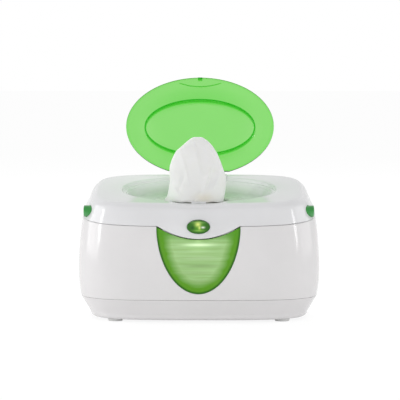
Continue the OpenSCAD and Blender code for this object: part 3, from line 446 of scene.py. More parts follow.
def window_group():
    """Colour of the window with painted light: a pale middle painted as light from the lit tub
    behind the pane, deep green towards its edge, painted shade along its rim and faint level
    streaks painted for the wipe stack seen through it.
    """
    tree, given, result = node_group("window_tint_and_painted_light", {
        "Middle": (0.4, 0.6, 0.3, 1), "Outer": (0.15, 0.4, 0.05, 1), "Rim": (0.06, 0.2, 0.02, 1)},
        {"Colour": "Color"})
    place = object_space(tree)
    parts = node(tree, "SeparateXYZ", {0: place}).outputs
    across = maths(tree, "MULTIPLY", maths(tree, "ABSOLUTE", parts["X"]), 1000 / WINDOW_HALF)
    down = maths(tree, "SUBTRACT", 0.001 * WINDOW_TOP, parts["Z"])
    down = maths(tree, "MAXIMUM", maths(tree, "MULTIPLY", down, 1000 / WINDOW_H), 0.0)
    share = maths(tree, "ADD", *(maths(tree, "POWER", run, WINDOW_POWER) for run in (across, down)))
    falls = (maths(tree, "POWER", maths(tree, "MULTIPLY", run, WINDOW_POWER / size), 2.0)
             for run, size in ((across, WINDOW_HALF), (down, WINDOW_H)))
    slope = maths(tree, "SQRT", maths(tree, "ADD", *falls))
    inward = maths(tree, "DIVIDE", maths(tree, "SUBTRACT", 1.0, share),
                   maths(tree, "ADD", slope, 0.002))
    # Painted level bands standing in for the lit wipe stack seen through the pane; the rim colour
    # further down is painted shade along the pane's edge.
    streak = noise(tree, stretch(tree, place, (12, 12, 330)), 1.0, 4.0, 0.65)
    bands = noise(tree, stretch(tree, place, (5, 5, 95)), 1.0, 2.0)
    wavy = maths(tree, "MULTIPLY", maths(tree, "SUBTRACT", bands, 0.5), 9.0)
    wavy = span(tree, maths(tree, "ADD", inward, wavy), 6.0, 17.0)
    body = blend_colour(tree, wavy, given["Outer"], given["Middle"])
    dark = blend_colour(tree, span(tree, streak, 0.42, 0.75, 0.0, 0.45), body, given["Outer"])
    fill(tree, result, {
        "Colour": blend_colour(tree, span(tree, inward, 1.3, 2.9), given["Rim"], dark)})
    return tree


MOULDED, METAL = moulded_group(), metal_group()
SPOT, WINDOW_TINT_AND_LIGHT = spot_group(), window_group()


def material_tree(made):
    """Tree and main shader of a material."""
    return made.node_tree, made.node_tree.nodes["Principled BSDF"]


def new_material(name, **sockets):
    """Material whose main shader has some sockets set, each named in small letters."""
    made = bpy.data.materials.new(name)
    made.use_nodes = True
    tree, shader = material_tree(made)
    fill(tree, shader.inputs, {key.replace("_", " ").title().replace("Ior", "IOR"): value
                               for key, value in sockets.items()})
    return made


def coat(made, group, values):
    """Gives a material the colour, roughness and normal of a group."""
    tree, shader = material_tree(made)
    given = node(tree, "Group", values, node_tree=group).outputs
    fill(tree, shader.inputs, {"Base Color": given["Colour"], "Roughness": given["Roughness"],
                               "Normal": given["Normal"]})
    return made


def plastic(name, colour, cloud=0.97, gloss=(0.12, 0.2), grain=(2500, 0.05), **sockets):
    return coat(new_material(name, **sockets), MOULDED, {
        "Colour": colour, "Clouded colour": [c * cloud for c in colour], "Smoothest": gloss[0],
        "Roughest": gloss[1], "Grain scale": grain[0], "Grain depth": grain[1]})


def metal(name, colour, dull=0.85, rough=0.25, lines=0.4):
    return coat(new_material(name, metallic=1.0), METAL, {
        "Colour": colour, "Dull colour": [c * dull for c in colour], "Roughness": rough,
        "Line depth": lines})


def spots(tree, base, patches):
    """Lays soft patches of painted light and shade over a colour: place and reach in millimetres,
    colour, strength.
    """
    for place, reach, colour, strength in patches:
        patch = node(tree, "Group", {"Centre": to_row(place)[0],
                                     "Reach": [0.001 * r for r in reach]}, node_tree=SPOT)
        share = maths(tree, "MULTIPLY", patch.outputs["Mask"], strength)
        base = blend_colour(tree, share, base, colour)
    return base


def patched(name, colour, patches, **settings):
    """Moulded plastic with soft patches of painted light and shade in its colour."""
    made = plastic(name, colour, **settings)
    tree, shader = material_tree(made)
    base = shader.inputs["Base Color"]
    feed(tree, base, spots(tree, base.links[0].from_socket, patches))
    return made


def window_green():
    made = plastic("window_green", (0.3, 0.6, 0.2), gloss=(0.10, 0.18), specular_ior_level=0.2)
    tree, shader = material_tree(made)
    tint = node(tree, "Group", {"Middle": (0.46, 0.73, 0.31), "Outer": (0.12, 0.38, 0.015),
                                "Rim": (0.035, 0.17, 0.008)}, node_tree=WINDOW_TINT_AND_LIGHT)
    # Base colour with painted light and shade from the group and the patches; the emission is a
    # painted glow below the tongue, with no lamp behind the pane.
    fill(tree, shader.inputs, {
        "Base Color": spots(tree, tint.outputs["Colour"], WINDOW_PAINTED_LIGHT_AND_SHADE),
        "Emission Color": spots(tree, (0.0, 0.0, 0.0), WINDOW_PAINTED_GLOW), "Emission Strength": 0.5})
    return made


def clear_green(name, tint, density, gloss, shade):
    """Clear tinted plastic: coloured in its depth, with a lighter shadow in its own tint."""
    made = plastic(name, shade, gloss=gloss, grain=(900, 0.05), transmission_weight=1.0, ior=1.33)
    tree, shader = material_tree(made)
    depth = node(tree, "VolumeAbsorption", {"Color": tint, "Density": density})
    pale = node(tree, "BsdfTransparent", {"Color": (0.55, 0.88, 0.50)})
    choice = node(tree, "MixShader", {0: node(tree, "LightPath").outputs["Is Shadow Ray"],
                                      1: shader.outputs[0], 2: pale.outputs[0]})
    fill(tree, tree.nodes["Material Output"].inputs, {"Surface": choice.outputs[0],
                                                      "Volume": depth.outputs[0]})
    return made


WHITE_CASING = plastic("white_casing", (0.86, 0.845, 0.85), gloss=(0.10, 0.16))
# Painted green shade at the back of the recess, standing in for the flip lid's green-tinted shadow
# and cast light; laid on the lid cover and the insert.
BOWL_PAINTED_GREEN_SHADE = (((0, 28, 134), (92, 48, 12), (0.37, 0.57, 0.34), 1.0),)
WHITE_LID = patched("white_lid", (0.86, 0.86, 0.875), BOWL_PAINTED_GREEN_SHADE, gloss=(0.10, 0.16))
WHITE_INNER = patched("white_inner", (0.84, 0.84, 0.83), BOWL_PAINTED_GREEN_SHADE, gloss=(0.35, 0.5),
                      grain=(1800, 0.5))
MILKY_TUB = plastic("milky_tub", (0.80, 0.83, 0.81), gloss=(0.25, 0.35), grain=(1500, 0.2))
RUBBER = plastic("foot_rubber", (0.80, 0.80, 0.79), 0.95, gloss=(0.55, 0.75), grain=(1200, 1.0))
SEAL = plastic("seal_silicone", (0.55, 0.56, 0.57), 0.92, gloss=(0.4, 0.5), grain=(1500, 0.4))
LID_GREEN = clear_green("lid_green", (0.22, 0.86, 0.06), 335.0, (0.03, 0.07), (0.50, 0.83, 0.38))
# Painted light and shade in the window's colour: painted shade under the tongue across its width, a
# painted highlight just below the tongue, and light and dark level bands painted for the lit wipe
# stack seen through the pane.
WINDOW_PAINTED_LIGHT_AND_SHADE = (
    ((0, -85, 95), (28, 90, 3.6), (0.10, 0.37, 0.02), 0.8),
    ((-33, -85, 101), (17, 90, 10), (0.10, 0.37, 0.02), 0.9),
    ((33, -85, 101), (17, 90, 10), (0.10, 0.37, 0.02), 0.9),
    ((0, -85, 87.5), (27, 90, 3.2), (0.62, 0.86, 0.46), 0.8),
    ((-3, -85, 80), (30, 90, 2.0), (0.55, 0.76, 0.40), 0.35),
    ((2, -85, 73), (30, 90, 3.4), (0.50, 0.70, 0.37), 0.45),
    ((2, -85, 64.5), (28, 90, 3.0), (0.22, 0.38, 0.13), 0.5),
    ((-2, -85, 57), (26, 90, 3.2), (0.42, 0.62, 0.28), 0.45),
    ((3, -85, 48), (20, 90, 5), (0.34, 0.54, 0.20), 0.4))
# Painted glow in the window's emission: a painted highlight just below the tongue with a softer
# glow under and over it; no lamp is behind the pane.
WINDOW_PAINTED_GLOW = (
    ((0, -85, 87.4), (23, 90, 2.2), (0.85, 1.0, 0.72), 0.85),
    ((0, -85, 91.5), (7, 90, 3.4), (0.6, 0.8, 0.4), 0.35),
    ((0, -85, 82), (16, 90, 5), (0.35, 0.5, 0.25), 0.3))
WINDOW_GREEN = window_green()
# Painted light on the front button, imitating a clear green gem: a mid-green middle over a darker
# rim as painted shade, a painted light crescent along its top, painted dark shade at its sides, a
# painted reflection band low down, painted yellow highlights and a painted white glint.
FRONT_BUTTON_PAINTED_LIGHT = (
    ((0, -88, 107.2), (12, 90, 7.0), (0.10, 0.38, 0.02), 1.0),
    ((0, -88, 112.2), (10, 90, 1.6), (0.30, 0.62, 0.14), 0.75),
    ((-6.4, -88, 106.6), (3.6, 90, 3.6), (0.015, 0.11, 0.01), 0.95),
    ((1.6, -88, 108.4), (3.2, 90, 2.0), (0.02, 0.13, 0.01), 0.6),
    ((8.6, -88, 106.4), (2.2, 90, 3.0), (0.03, 0.16, 0.01), 0.8),
    ((0.5, -88, 103.4), (7.5, 90, 1.5), (0.26, 0.60, 0.08), 0.95),
    ((-0.4, -88, 110.2), (4.2, 90, 3.4), (0.85, 1.0, 0.26), 1.0),
    ((1.2, -88, 106.6), (1.9, 90, 3.0), (0.75, 0.95, 0.22), 1.0),
    ((5.0, -88, 106.9), (2.8, 90, 1.5), (0.98, 1.0, 0.88), 1.0))
# Painted light on each side button: a painted light teal highlight just below its middle and
# painted dark shade along its top.
SIDE_BUTTON_PAINTED_LIGHT = tuple(patch for s in (-1, 1) for patch in (
    ((s * 127, -44, 118.6), (8, 7, 3.4), (0.34, 0.68, 0.42), 0.9),
    ((s * 127, -40, 124.5), (8, 12, 2.4), (0.01, 0.20, 0.04), 0.8)))
BUTTON_GREEN = patched("button_green", (0.05, 0.36, 0.07), SIDE_BUTTON_PAINTED_LIGHT, cloud=0.85,
                       gloss=(0.05, 0.1), specular_ior_level=0.3)
BUTTON_FRONT = patched("button_front", (0.02, 0.13, 0.01), FRONT_BUTTON_PAINTED_LIGHT, cloud=0.85,
                       gloss=(0.05, 0.1), specular_ior_level=0.3)
STEEL = metal("screw_steel", (0.62, 0.62, 0.63))
SPRING = metal("spring_steel", (0.5, 0.5, 0.52), 0.9, 0.2, 0.6)
PLATE = metal("plate_aluminium", (0.80, 0.81, 0.82), 0.93, 0.35, 0.8)
FILM = plastic("heating_film", (0.62, 0.28, 0.05), 0.8, gloss=(0.2, 0.3))
PAD = plastic("insulation_felt", (0.45, 0.45, 0.44), 0.75, gloss=(0.85, 0.95), grain=(700, 2.5))
BOARD = plastic("board_green", (0.03, 0.16, 0.06), 0.7, gloss=(0.2, 0.35), grain=(900, 0.6))
BLACK = plastic("black_plastic", (0.03, 0.03, 0.032), 0.8, gloss=(0.3, 0.45), grain=(2200, 0.6))
TAN = plastic("thermostat_body", (0.48, 0.33, 0.2), 0.85, gloss=(0.4, 0.55), grain=(1500, 0.6))
WIRE = plastic("wire_sleeve", (0.55, 0.05, 0.04), 0.85, gloss=(0.35, 0.45))
# Painted light and shade on the pulled wipe: a warm painted shade at its foot where it curves
# under, a painted shade along a fold at its upper right, and a painted green cast at its lower left
# from the green recess.
CLOTH_PAINTED_SHADE = (
    ((6, 0, 133), (16, 60, 8), (0.78, 0.72, 0.56), 0.8),
    ((15, 0, 164), (7, 60, 5), (0.84, 0.86, 0.78), 0.5),
    ((-30, 0, 133), (9, 60, 12), (0.78, 0.90, 0.76), 0.5))
CLOTH = patched("wipe_cloth", (0.955, 0.955, 0.94), CLOTH_PAINTED_SHADE, cloud=0.98, gloss=(0.8, 0.9),
                grain=(900, 0.8), subsurface_weight=0.35, subsurface_scale=1.0,
                subsurface_radius=(0.006, 0.006, 0.0055))


# ---------------- casing

def casing_shell():
    t = np.radians(np.linspace(90, 0, 30))
    widths = np.r_[WINDOW_HALF * np.cos(t) ** (2 / WINDOW_POWER), 47.5, 50, 53, 56.5, 60]
    widths[0] = 0.0
    plan = Plan(widths, 28)
    x = plan.sx * np.nan_to_num(plan.width, nan=90.0)
    front = (plan.sy < 0) & plan.flat & (np.abs(x) < WINDOW_HALF)
    top = np.ones(len(x))
    top[front] = casing_front(x[front], window_low(x[front]))[1]
    radius, rise = 0.5, SEAM_Z - BASE_Z
    low, high = radius / rise, top - radius / rise
    rings = [casing_ring(plan, mix(low, high, s)) for s in np.linspace(0, 1, 42)]
    rings += edge_rings(casing_ring(plan, top), casing_ring(plan, top, WALL),
                        casing_ring(plan, top - 0.02), radius)[1:-1]
    rings += [casing_ring(plan, mix(low, high, s), WALL) for s in np.linspace(1, 0, 16)]
    foot = edge_rings(casing_ring(plan, 0), casing_ring(plan, 0, WALL), casing_ring(plan, 0.02),
                      radius)
    rings += foot[::-1][1:-1]
    parts = [loft("casing", rings, loop=True)]
    keep = np.roll(~((plan.sy < 0) & (np.abs(x) < 51) & plan.flat), -len(widths))
    shelf = [np.roll(casing_ring(plan, 1, inset, drop), -len(widths), axis=0)[keep]
             for inset, drop in ((WALL - 0.2, -4), (7, -4), (7, -7), (WALL + 0.3, -10))]
    ledge = loft("ledge", shelf, loop=True, closed=False)
    cut(ledge, *(block("slot", (side * 116.2 - 4.2, -46.5, 98), (8.4, 13, 20)) for side in (-1, 1)))
    parts.append(ledge)
    ear = [(-8, -9), (0, -9)] + arc_points(5, -90, 180, 28) + [(-8, 0)]
    base = [(-8, -12), (-3, -12), (-3, -9), (0, -9), (0, -5.6), (-8, -5.6)]
    for hinge in (-HINGE_X, HINGE_X):
        for outline, start, length in ((ear, 6.8, 5), (ear, -11.8, 5), (base, -11.8, 23.6)):
            parts.append(lug(outline, length, hinge + start, *HINGE_YZ, 0.4))
    for x in (-SCREW_X, SCREW_X):
        for side in (-1, 1):
            parts.append(rod("boss", [x, side * SCREW_Y, 29.5], "z", 4.6, 6))
            web_y = min(side * SCREW_Y, side * 80)
            parts.append(block("web", (x - 1.5, web_y, BASE_Z), (3, 24, 6)))
    return smooth(join("casing_shell", parts))


def pan_ring(plan, inset, z, share, round_in=0.0):
    """Ring of the pan. share runs from its top, 0, to its narrower foot, 1."""
    out = -round_in - inset
    return xyz(*plan.points(PAN_W - 10.5 * share + out, PAN_D - 10 * share + out, PLAN_POWER), z)


def base_pan():
    plan = Plan(np.linspace(0, 60, 14), 26)
    foot, floor, top, radius, inner = 3.0, 5.6, 26.3, 5.0, 2.4
    arc = np.radians(np.linspace(90, 0, 13))
    side = lambda inset, s: pan_ring(plan, inset, mix(foot + radius, top - 0.5, s), 1 - s * 0.97)
    rings = [pan_ring(plan, 0, foot, 1, radius + s) for s in (62, 40, 20, 8, 3)]
    rings += [pan_ring(plan, 0, foot + radius * (1 - sin(t)), 1, radius * (1 - cos(t)))
              for t in arc]
    rings += [side(0, s) for s in (0.15, 0.4, 0.7, 1)]
    rings += edge_rings(pan_ring(plan, 0, top, 0), pan_ring(plan, WALL, top, 0),
                        pan_ring(plan, 0, top - 1, 0.05), 0.5)[1:-1]
    rings += [side(WALL, s) for s in (1, 0.5, 0)]
    rings += [pan_ring(plan, WALL, floor + inner * (1 - sin(t)), 1, inner * (1 - cos(t)))
              for t in arc[::-3]]
    rings += [pan_ring(plan, WALL, floor, 1, radius + s) for s in (5, 20, 40, 60)]
    pan = loft("pan", rings)
    wells = [rod("well", [x, y, 5], "z", 3.3, 6)
             for x in (-SCREW_X, SCREW_X) for y in (-SCREW_Y, SCREW_Y)]
    cut(pan, *wells, rod("inlet_bore", [58, 83.6, 16], "y", 7.7, 8))
    parts = [pan]
    for x in (-1, 1):
        for y in (-1, 1):
            parts += [rod("post", [x * 91, y * 45, 19.5], "z", 4, 28),
                      rod("board_post", [46 + x * 27, 26 + y * 16, 8], "z", 3, 5),
                      rod("boss", [x * SCREW_X, y * SCREW_Y, 16.5], "z", 4.6, 19)]
    return smooth(join("base_pan_moulding", parts))


def front_pane(across, low, high, depth, rows=24):
    """A pane that follows the casing's front between two heights."""
    points = []
    for back in (0, depth):
        for s in np.linspace(0, 1, rows):
            z = mix(low, high, s)
            points.append(xyz(across, casing_front(across, z)[0] + back, z))
    off = rows * len(across)
    grid = np.arange(off).reshape(rows, -1)
    faces = []
    for row, above in zip(grid.tolist(), grid[1:].tolist()):
        for a, b, c, d in zip(row, row[1:], above[1:], above):
            faces += [(a, b, c, d), (off + a, off + d, off + c, off + b)]
    rim = np.r_[grid[0], grid[1:, -1], grid[-1, -2::-1], grid[-2:0:-1, 0]].tolist()
    faces += [(a, b, off + b, off + a) for a, b in zip(rim, rim[1:] + rim[:1])]
    return mesh_object("pane", np.vstack(points), faces)


def view_window():
    t = np.radians(np.linspace(180, 0, 91))
    across = 45.8 * np.sign(np.cos(t)) * np.abs(np.cos(t)) ** (2 / WINDOW_POWER)
    low = window_low(across, -0.15)
    high = np.maximum(WINDOW_TOP - tongue_at(across) - 0.8, low + 0.3)
    return smooth(soften(front_pane(across, low, high, 3.2), 0.45, 50), 40)


# ---------------- main lid

def scoop_at(x):
    return np.where(np.abs(x) < TONGUE_HALF, np.cos(np.pi / 2 * x / TONGUE_HALF) ** 2, 0)


def lid_ring(plan, f, inset=0.0, round_in=0.0, lift=0.0, reach=0.0, dip=0.0):
    """Ring of the lid's side. f runs from the seam, 0, to the top, 1."""
    x, y = plan.points(LID_W - LID_LEAN[0] * f - round_in - inset,
                       SEAM_D - LID_LEAN[1] * f - round_in - inset, mix(PLAN_POWER, 4.5, f))
    share = np.where(y > 0, 0, scoop_at(x))
    return xyz(x, y - reach * share, mix(seam_at(y), top_at(y), f) + lift - dip * share)


def lip_ring(plan, inset=0.0):
    ring = lid_ring(plan, 0, inset, 0, 0.4, 4)
    drop = np.where(ring[:, 1] < 0, tongue_at(ring[:, 0]), 0)
    return ring - xyz(0, 0.02 * drop, drop)


def bowl_ring(plan, half, depth, reach=0.0, dip=0.0):
    """Oval ring of the recess, at a depth under the lid's top."""
    x, y = plan.points(*half, 2.0)
    y = y - RECESS_Y
    share = np.where(y > 0, 0, scoop_at(x))
    z = TOP_Z - depth + TOP_TILT * y - (dip + reach * TOP_TILT) * share
    return xyz(x, y - reach * share, z)


def between(rings, steps):
    """Smooth curve through control rings, without repeating the first one."""
    ends = [2 * rings[0] - rings[1]] + rings + [2 * rings[-1] - rings[-2]]
    out = []
    for i in range(len(rings) - 1):
        a, b, c, d = ends[i:i + 4]
        ab, bc, cd = (np.maximum(np.linalg.norm(q - p, axis=1, keepdims=True), 1e-6) ** 0.5
                      for p, q in ((a, b), (b, c), (c, d)))
        m1 = (c - b) + bc * ((b - a) / ab - (c - a) / (ab + bc))
        m2 = (c - b) + bc * ((d - c) / cd - (d - b) / (bc + cd))
        for s in np.linspace(0, 1, steps[i] + 1)[1:]:
            out.append((2 * s ** 3 - 3 * s ** 2 + 1) * b + (s ** 3 - 2 * s ** 2 + s) * m1
                       + (-2 * s ** 3 + 3 * s ** 2) * c + (s ** 3 - s ** 2) * m2)
    return out


RECESS = (86.0, 61.5 * cos(radians(TOP_SLOPE)))
CUP, FLOOR, SLOT_OVAL = (81.0, RECESS[1] - 5), (76.0, RECESS[1] - 10), (46.0, 25.0)
BUTTON_Z, BUTTON_FACE = 107.2, -87.8
SIDE_Y, SIDE_Z, SIDE_FACE, SIDE_OUT = -40.0, 120.557, 121.744, 5.0
CATCH_Y = -58.8245
FLIP_Y, EAR_IN, EAR_W = 59.2, 27.0, 4.0


def tipped(points, angle, y0=0.0, z0=0.0):
    """Turned about the X axis, then moved."""
    c, s = cos(angle), sin(angle)
    x, y, z = np.asarray(points, float).reshape(-1, 3).T
    return xyz(x, y * c - z * s + y0, z0 + y * s + z * c)


def on_top(points):
    """From the flat frame of the lid's top to the body."""
    return tipped(points, radians(TOP_SLOPE), 0.0, TOP_Z)


def grown(half, by):
    return half[0] + by, half[1] + by


def pocket(front):
    """Room for the flip lid's knuckles, from a little way in front of their pin."""
    outline = [(front, -3.2), (0, -3.2)] + arc_points(3.2, -90, 60, 16) + [(1.6, 9), (front, 9)]
    return prism("pocket", outline, 2 * EAR_IN, lambda p: on_top(crosswise(p, -EAR_IN, FLIP_Y, 0)))


def lid_cover():
    plan = Plan(np.linspace(0, 60, 41), 40)
    straight = 1 - LID_ROUND / LID_H
    side = [lip_ring(plan), lid_ring(plan, 0.12, reach=4), lid_ring(plan, 0.45, reach=3.2),
            lid_ring(plan, straight, reach=2.4, dip=1)]
    side += [lid_ring(plan, 1, 0, LID_ROUND * (1 - cos(t)), LID_ROUND * (sin(t) - 1), 2, 2)
             for t in np.radians((30, 60, 90))]
    lip = edge_rings(side[0], lip_ring(plan, LID_WALL), side[1], 0.5)
    outer = between(side, (7, 7, 8, 4, 4, 4))
    bowl = lambda half, g, *rest: bowl_ring(plan, grown(half, g), *rest)
    rim = [bowl(RECESS, *numbers) for numbers in (
        (2.4, 0, 6.2, 2.05), (1.5, 0.08, 6.6, 2.15), (0.8, 0.35, 6.7, 2.15), (0.3, 0.8, 6.4, 2.05),
        (0, 1.5, 5.4, 1.8), (-0.4, 2.5, 3, 1.25), (-0.9, LEDGE_H, 1.8, 0.95))]
    rings = lip[::-1][1:] + outer + [mix(outer[-1], rim[0], s) for s in np.linspace(0, 1, 12)[1:-1]]
    rings += [rim[0]] + between(rim, (2, 2, 2, 2, 2, 3))
    rings += [bowl(CUP, g, LEDGE_H + d)
              for g, d in ((1.8, 0), (1.1, 0.08), (0.5, 0.35), (0.1, 0.9), (-0.2, 1.7))]
    rings += [bowl(CUP, -5 * s, mix(LEDGE_H, RECESS_H, s)) for s in (0.2, 0.35, 0.5, 0.62)]
    rings += [bowl(FLOOR, g, RECESS_H - d)
              for g, d in ((1.5, 3.0), (0.9, 1.7), (-0.1, 0.8), (-1.6, 0.25), (-3.6, 0.0))]
    rings += [mix(rings[-1], bowl(SLOT_OVAL, 0, RECESS_H), s) for s in (0.25, 0.5, 0.75, 1)]
    rings += [bowl(SLOT_OVAL, 0, RECESS_H + LID_WALL), bowl(FLOOR, 1.5, RECESS_H + LID_WALL),
              bowl(CUP, 2, LEDGE_H + LID_WALL), bowl(RECESS, 2, LEDGE_H + LID_WALL, 0, 1),
              bowl(RECESS, 2.2, LID_WALL, 2.6, 2.6)]
    rings += [lid_ring(plan, f, LID_WALL, *rest) for f, *rest in (
        (1, LID_ROUND * 0.9, -LID_WALL, 2, 2.6), (straight, 0, -1, 2.4, 1.4), (0.45, 0, 0, 3.2),
        (0.12, 0, 0, 4))]
    cover = loft("cover", rings, loop=True)
    holes = [prism("hole", oval(12.8, 7.8, 96), 26,
                   lambda p: p[:, [0, 2, 1]] * [1, -1, 1] + [0, -66, BUTTON_Z])]
    for s in (-1, 1):
        holes.append(prism("hole", oval(10.3, 6.6, 80), 18,
                           lambda p: p[:, [2, 0, 1]] * [s, 1, 1] + [s * 112, SIDE_Y, SIDE_Z]))
    cut(cover, *holes, pocket(-5.3), block("catch", (-6, CATCH_Y - 1.4, 120.6), (12, 10, 20)))
    wall_y = CATCH_Y + 8.6
    wall = block("catch_wall", (-8, wall_y, top_at(wall_y) - RECESS_H - 0.6),
                 (16, 2, RECESS_H + 0.6 - LEDGE_H))
    base = prism("hinge_block", [(-5.2, -8), (6, -8), (6, -0.05), (-5.2, -0.05)],
                 2 * (EAR_IN + EAR_W), lambda p: on_top(crosswise(p, -EAR_IN - EAR_W, FLIP_Y, 0)))
    parts = [cover, cut(base, pocket(-5.4)), soften(wall, 0.5)]
    knuckle = [(-9.1, 0.4), (0, 0.4)] + arc_points(5, -85, 90, 24) + [(-9.1, 5)]
    for s in (-1, 1):
        parts.append(lug(oval(3.0, 3.0, 40), EAR_W, s * (EAR_IN + EAR_W / 2) - EAR_W / 2, FLIP_Y, 0,
                         0.35, to_body=on_top))
        for outline in (knuckle, oval(5, 5, 48)):
            parts.append(lug(outline, 13, s * HINGE_X - 6.5, *HINGE_YZ, 0.35))
    return smooth(join("lid_cover_moulding", parts))


# ---------------- flip lid

OPEN = radians(90 + TOP_SLOPE + FLIP_LEAN)
FLIP = (84.7, 60.2)
SKIN = 2.4


def flipped(points):
    """From the closed lid's flat frame to the body, with the flip lid open."""
    about_pin = np.asarray(points, float).reshape(-1, 3) - [0, FLIP_Y, 0]
    return on_top(tipped(about_pin, -OPEN, FLIP_Y))


def flip_ring(a, b, z, count=160):
    t = np.linspace(0, 2 * np.pi, count, endpoint=False)
    return xyz(a * np.cos(t), b * np.sin(t) - RECESS_Y, z)


def flip_lid():
    dome = lambda s: 4.5 * (1 - s * s)
    at = lambda s, low: flip_ring(FLIP[0] * s, FLIP[1] * s, dome(s) - low)
    ridge = lambda grow, z: flip_ring(63.5 + grow, 34.5 + grow, z) + [0, RECESS_Y + 1, 0]
    inner_foot, outer_foot = ridge(-2.6, dome(0.66) - SKIN), ridge(0.8, dome(0.72) - SKIN)
    under = [at(s, SKIN) for s in (0.06, 0.2, 0.35, 0.48)]
    under += [mix(at(0.48, SKIN), ridge(-3.2, dome(0.66) - SKIN), 0.6), inner_foot]
    under += [ridge(grow, z) for grow, z in (
        (-2.0, dome(0.66) - 2.9), (-1.8, dome(0.66) - 3.6), (-1.75, -6), (-1.7, -8.0),
        (-1.45, -8.4), (-0.9, -8.5), (-0.35, -8.4), (-0.1, -8.0), (-0.05, -6),
        (0, dome(0.7) - 3.6), (0.2, dome(0.7) - 2.9))]
    under += [outer_foot] + [mix(outer_foot, at(0.87, SKIN), s) for s in (0.33, 0.66, 1)]
    under += [at(s, low) for s, low in ((0.93, SKIN), (0.965, SKIN), (0.97, 2.75), (0.975, 2.8),
                                        (0.992, 2.8))]
    for t in np.radians((-60, -30, -1, 1, 30, 60)):
        out = 0.5 * (cos(t) - 1)
        under.append(flip_ring(FLIP[0] + out, FLIP[1] + out,
                               (-0.5 if t > 0 else -2.3) + 0.5 * sin(t)))
    over = [at(s, 0)
            for s in (0.99, 0.96, 0.92, 0.86, 0.79, 0.71, 0.62, 0.52, 0.41, 0.29, 0.17, 0.06)]
    plate = loft("plate", [flipped(r) for r in under + over])
    arc = np.radians(np.linspace(68, 112, 41))
    fade = np.minimum(1, np.minimum(arc - arc[0], arc[-1] - arc) / 0.06)
    grip_y = -RECESS_Y - FLIP[1] - 53.7
    grip = [flipped(xyz(r * np.cos(arc), r * np.sin(arc) + grip_y, -2.0 - low * fade))
            for r, low in ((64.5, -0.4), (64.5, 0.75), (64.75, 1.0), (65.25, 1.0), (65.5, 0.75),
                           (65.5, -0.4))]
    catch = prism("catch", [(-2.6, -59.57), (2.6, -59.57), (2.6, -57.87), (-2.6, -57.87)], 7.5,
                  lambda p: flipped(p + [0, 0, -9.4]))
    parts = [plate, loft("thumb", grip, loop=True, closed=False), soften(catch, 0.3, 40, 2)]
    knuckle, length = [(-4.2, -2), (0, -2.7)] + arc_points(2.7, -75, 120, 26) + [(-4.2, 0.2)], 15.7
    notch = [block("notch", (-27.5, 56.2, -10), (55, 12, 20))]
    for s in (-1, 1):
        parts.append(lug(knuckle, length, s * 18.85 - length / 2, FLIP_Y, 0, 0.3, 35, flipped))
        notch.append(block("notch", (s * 29.1 - 2.7, 53.2, -10), (5.4, 12, 20)))
    for corner in (v for n in notch for v in n.data.vertices):
        corner.co = to_row(flipped(np.array(corner.co) * 1000 + [0, ROW_Y, 0]))[0]
    cut(plate, *notch)
    return smooth(join("flip_lid_moulding", parts), 30)


# ---------------- buttons, tub and insert

def button_lens(name, a, b, straight, crown, place, count=72):
    """Crowned oval cap, drawn along +Z from its foot."""
    rings = [oval_ring(a, b, z, count) for z in (0.0, straight / 2)]
    for t in np.radians(np.linspace(0, 86, 16)):
        shrink = cos(t) ** 0.75
        rings.append(oval_ring(a * shrink, b * shrink, straight + crown * sin(t), count))
    return smooth(loft(name, [place(r) for r in rings]), 50)


def front_lens():
    return button_lens("front_button_cap", 12.55, 7.55, 3.9, 2.4,
                       lambda p: p[:, [0, 2, 1]] * [1, -1, 1] + [0, BUTTON_FACE + 4.8, BUTTON_Z])


def side_lens(side):
    foot = side * (SIDE_FACE + SIDE_OUT - 8.3)
    return button_lens(f"side_button_cap_{'left' if side < 0 else 'right'}", 10.05, 6.35, 7.85, 1.1,
                       lambda p: p[:, [2, 0, 1]] * [side, 1, 1] + [foot, SIDE_Y, SIDE_Z])


def tub_ring(plan, grow, f, lift=0.0, shrink=0.0):
    """Ring of the tub's wall. f runs from its floor, 0, to its flange, 1."""
    out = grow - shrink - 4 * (1 - f)
    x, y = plan.points(TUB_W + out, TUB_D + out, 5.5)
    return xyz(x, y, mix(TUB_Z, SEAM_Z - 4, f) + lift + f * SEAM_TILT * y)


def flange_ring(plan, lift):
    x, y = plan.points(126.3, 79.1, PLAN_POWER)
    return xyz(x, y, SEAM_Z - 4 + lift + SEAM_TILT * y)


def wipe_tub():
    plan = Plan(np.linspace(0, 60, 12), 26)
    arc = np.radians(np.linspace(90, 0, 9))
    radius = 5
    rings = [tub_ring(plan, TUB_WALL, 0, 0, s) for s in (60, 20, 8)]
    rings += [tub_ring(plan, TUB_WALL, 0, radius * (1 - sin(t)), radius * (1 - cos(t)))
              for t in arc]
    rings += [tub_ring(plan, TUB_WALL, f) for f in (0.2, 0.5, 0.8, 0.99)]
    rings += [flange_ring(plan, lift) for lift in (0.05, 0.4, 1.6, 1.95)]
    rings += [tub_ring(plan, 1.2, 1, 2.0), tub_ring(plan, 0.4, 1, 1.9), tub_ring(plan, 0, 1, 1.2)]
    rings += [tub_ring(plan, 0, f) for f in (0.97, 0.8, 0.5, 0.2)]
    rings += [tub_ring(plan, 0, 0, TUB_WALL + 4 * (1 - sin(t)), 4 * (1 - cos(t)))
              for t in arc[::-1]]
    rings += [tub_ring(plan, 0, 0, TUB_WALL, s) for s in (8, 20, 60)]
    tub = loft("tub", rings)
    cut(tub, block("front", (-51, -86, 77), (102, 86 - 68.3, 40)),
        *(block("side", (s * 118.9 - 6.6, -46.5, 98.5), (13.2, 13, 20)) for s in (-1, 1)))
    posts = [rod("post", [s * 11, -70.0, 95.5], "y", 2.2, 9.4) for s in (-1, 1)]
    return smooth(join("wipe_tub_moulding", [tub] + posts))


def on_floor(points):
    """From the flat frame of the recess floor to the body."""
    return tipped(points, radians(TOP_SLOPE), -RECESS_Y, top_at(-RECESS_Y) - RECESS_H)


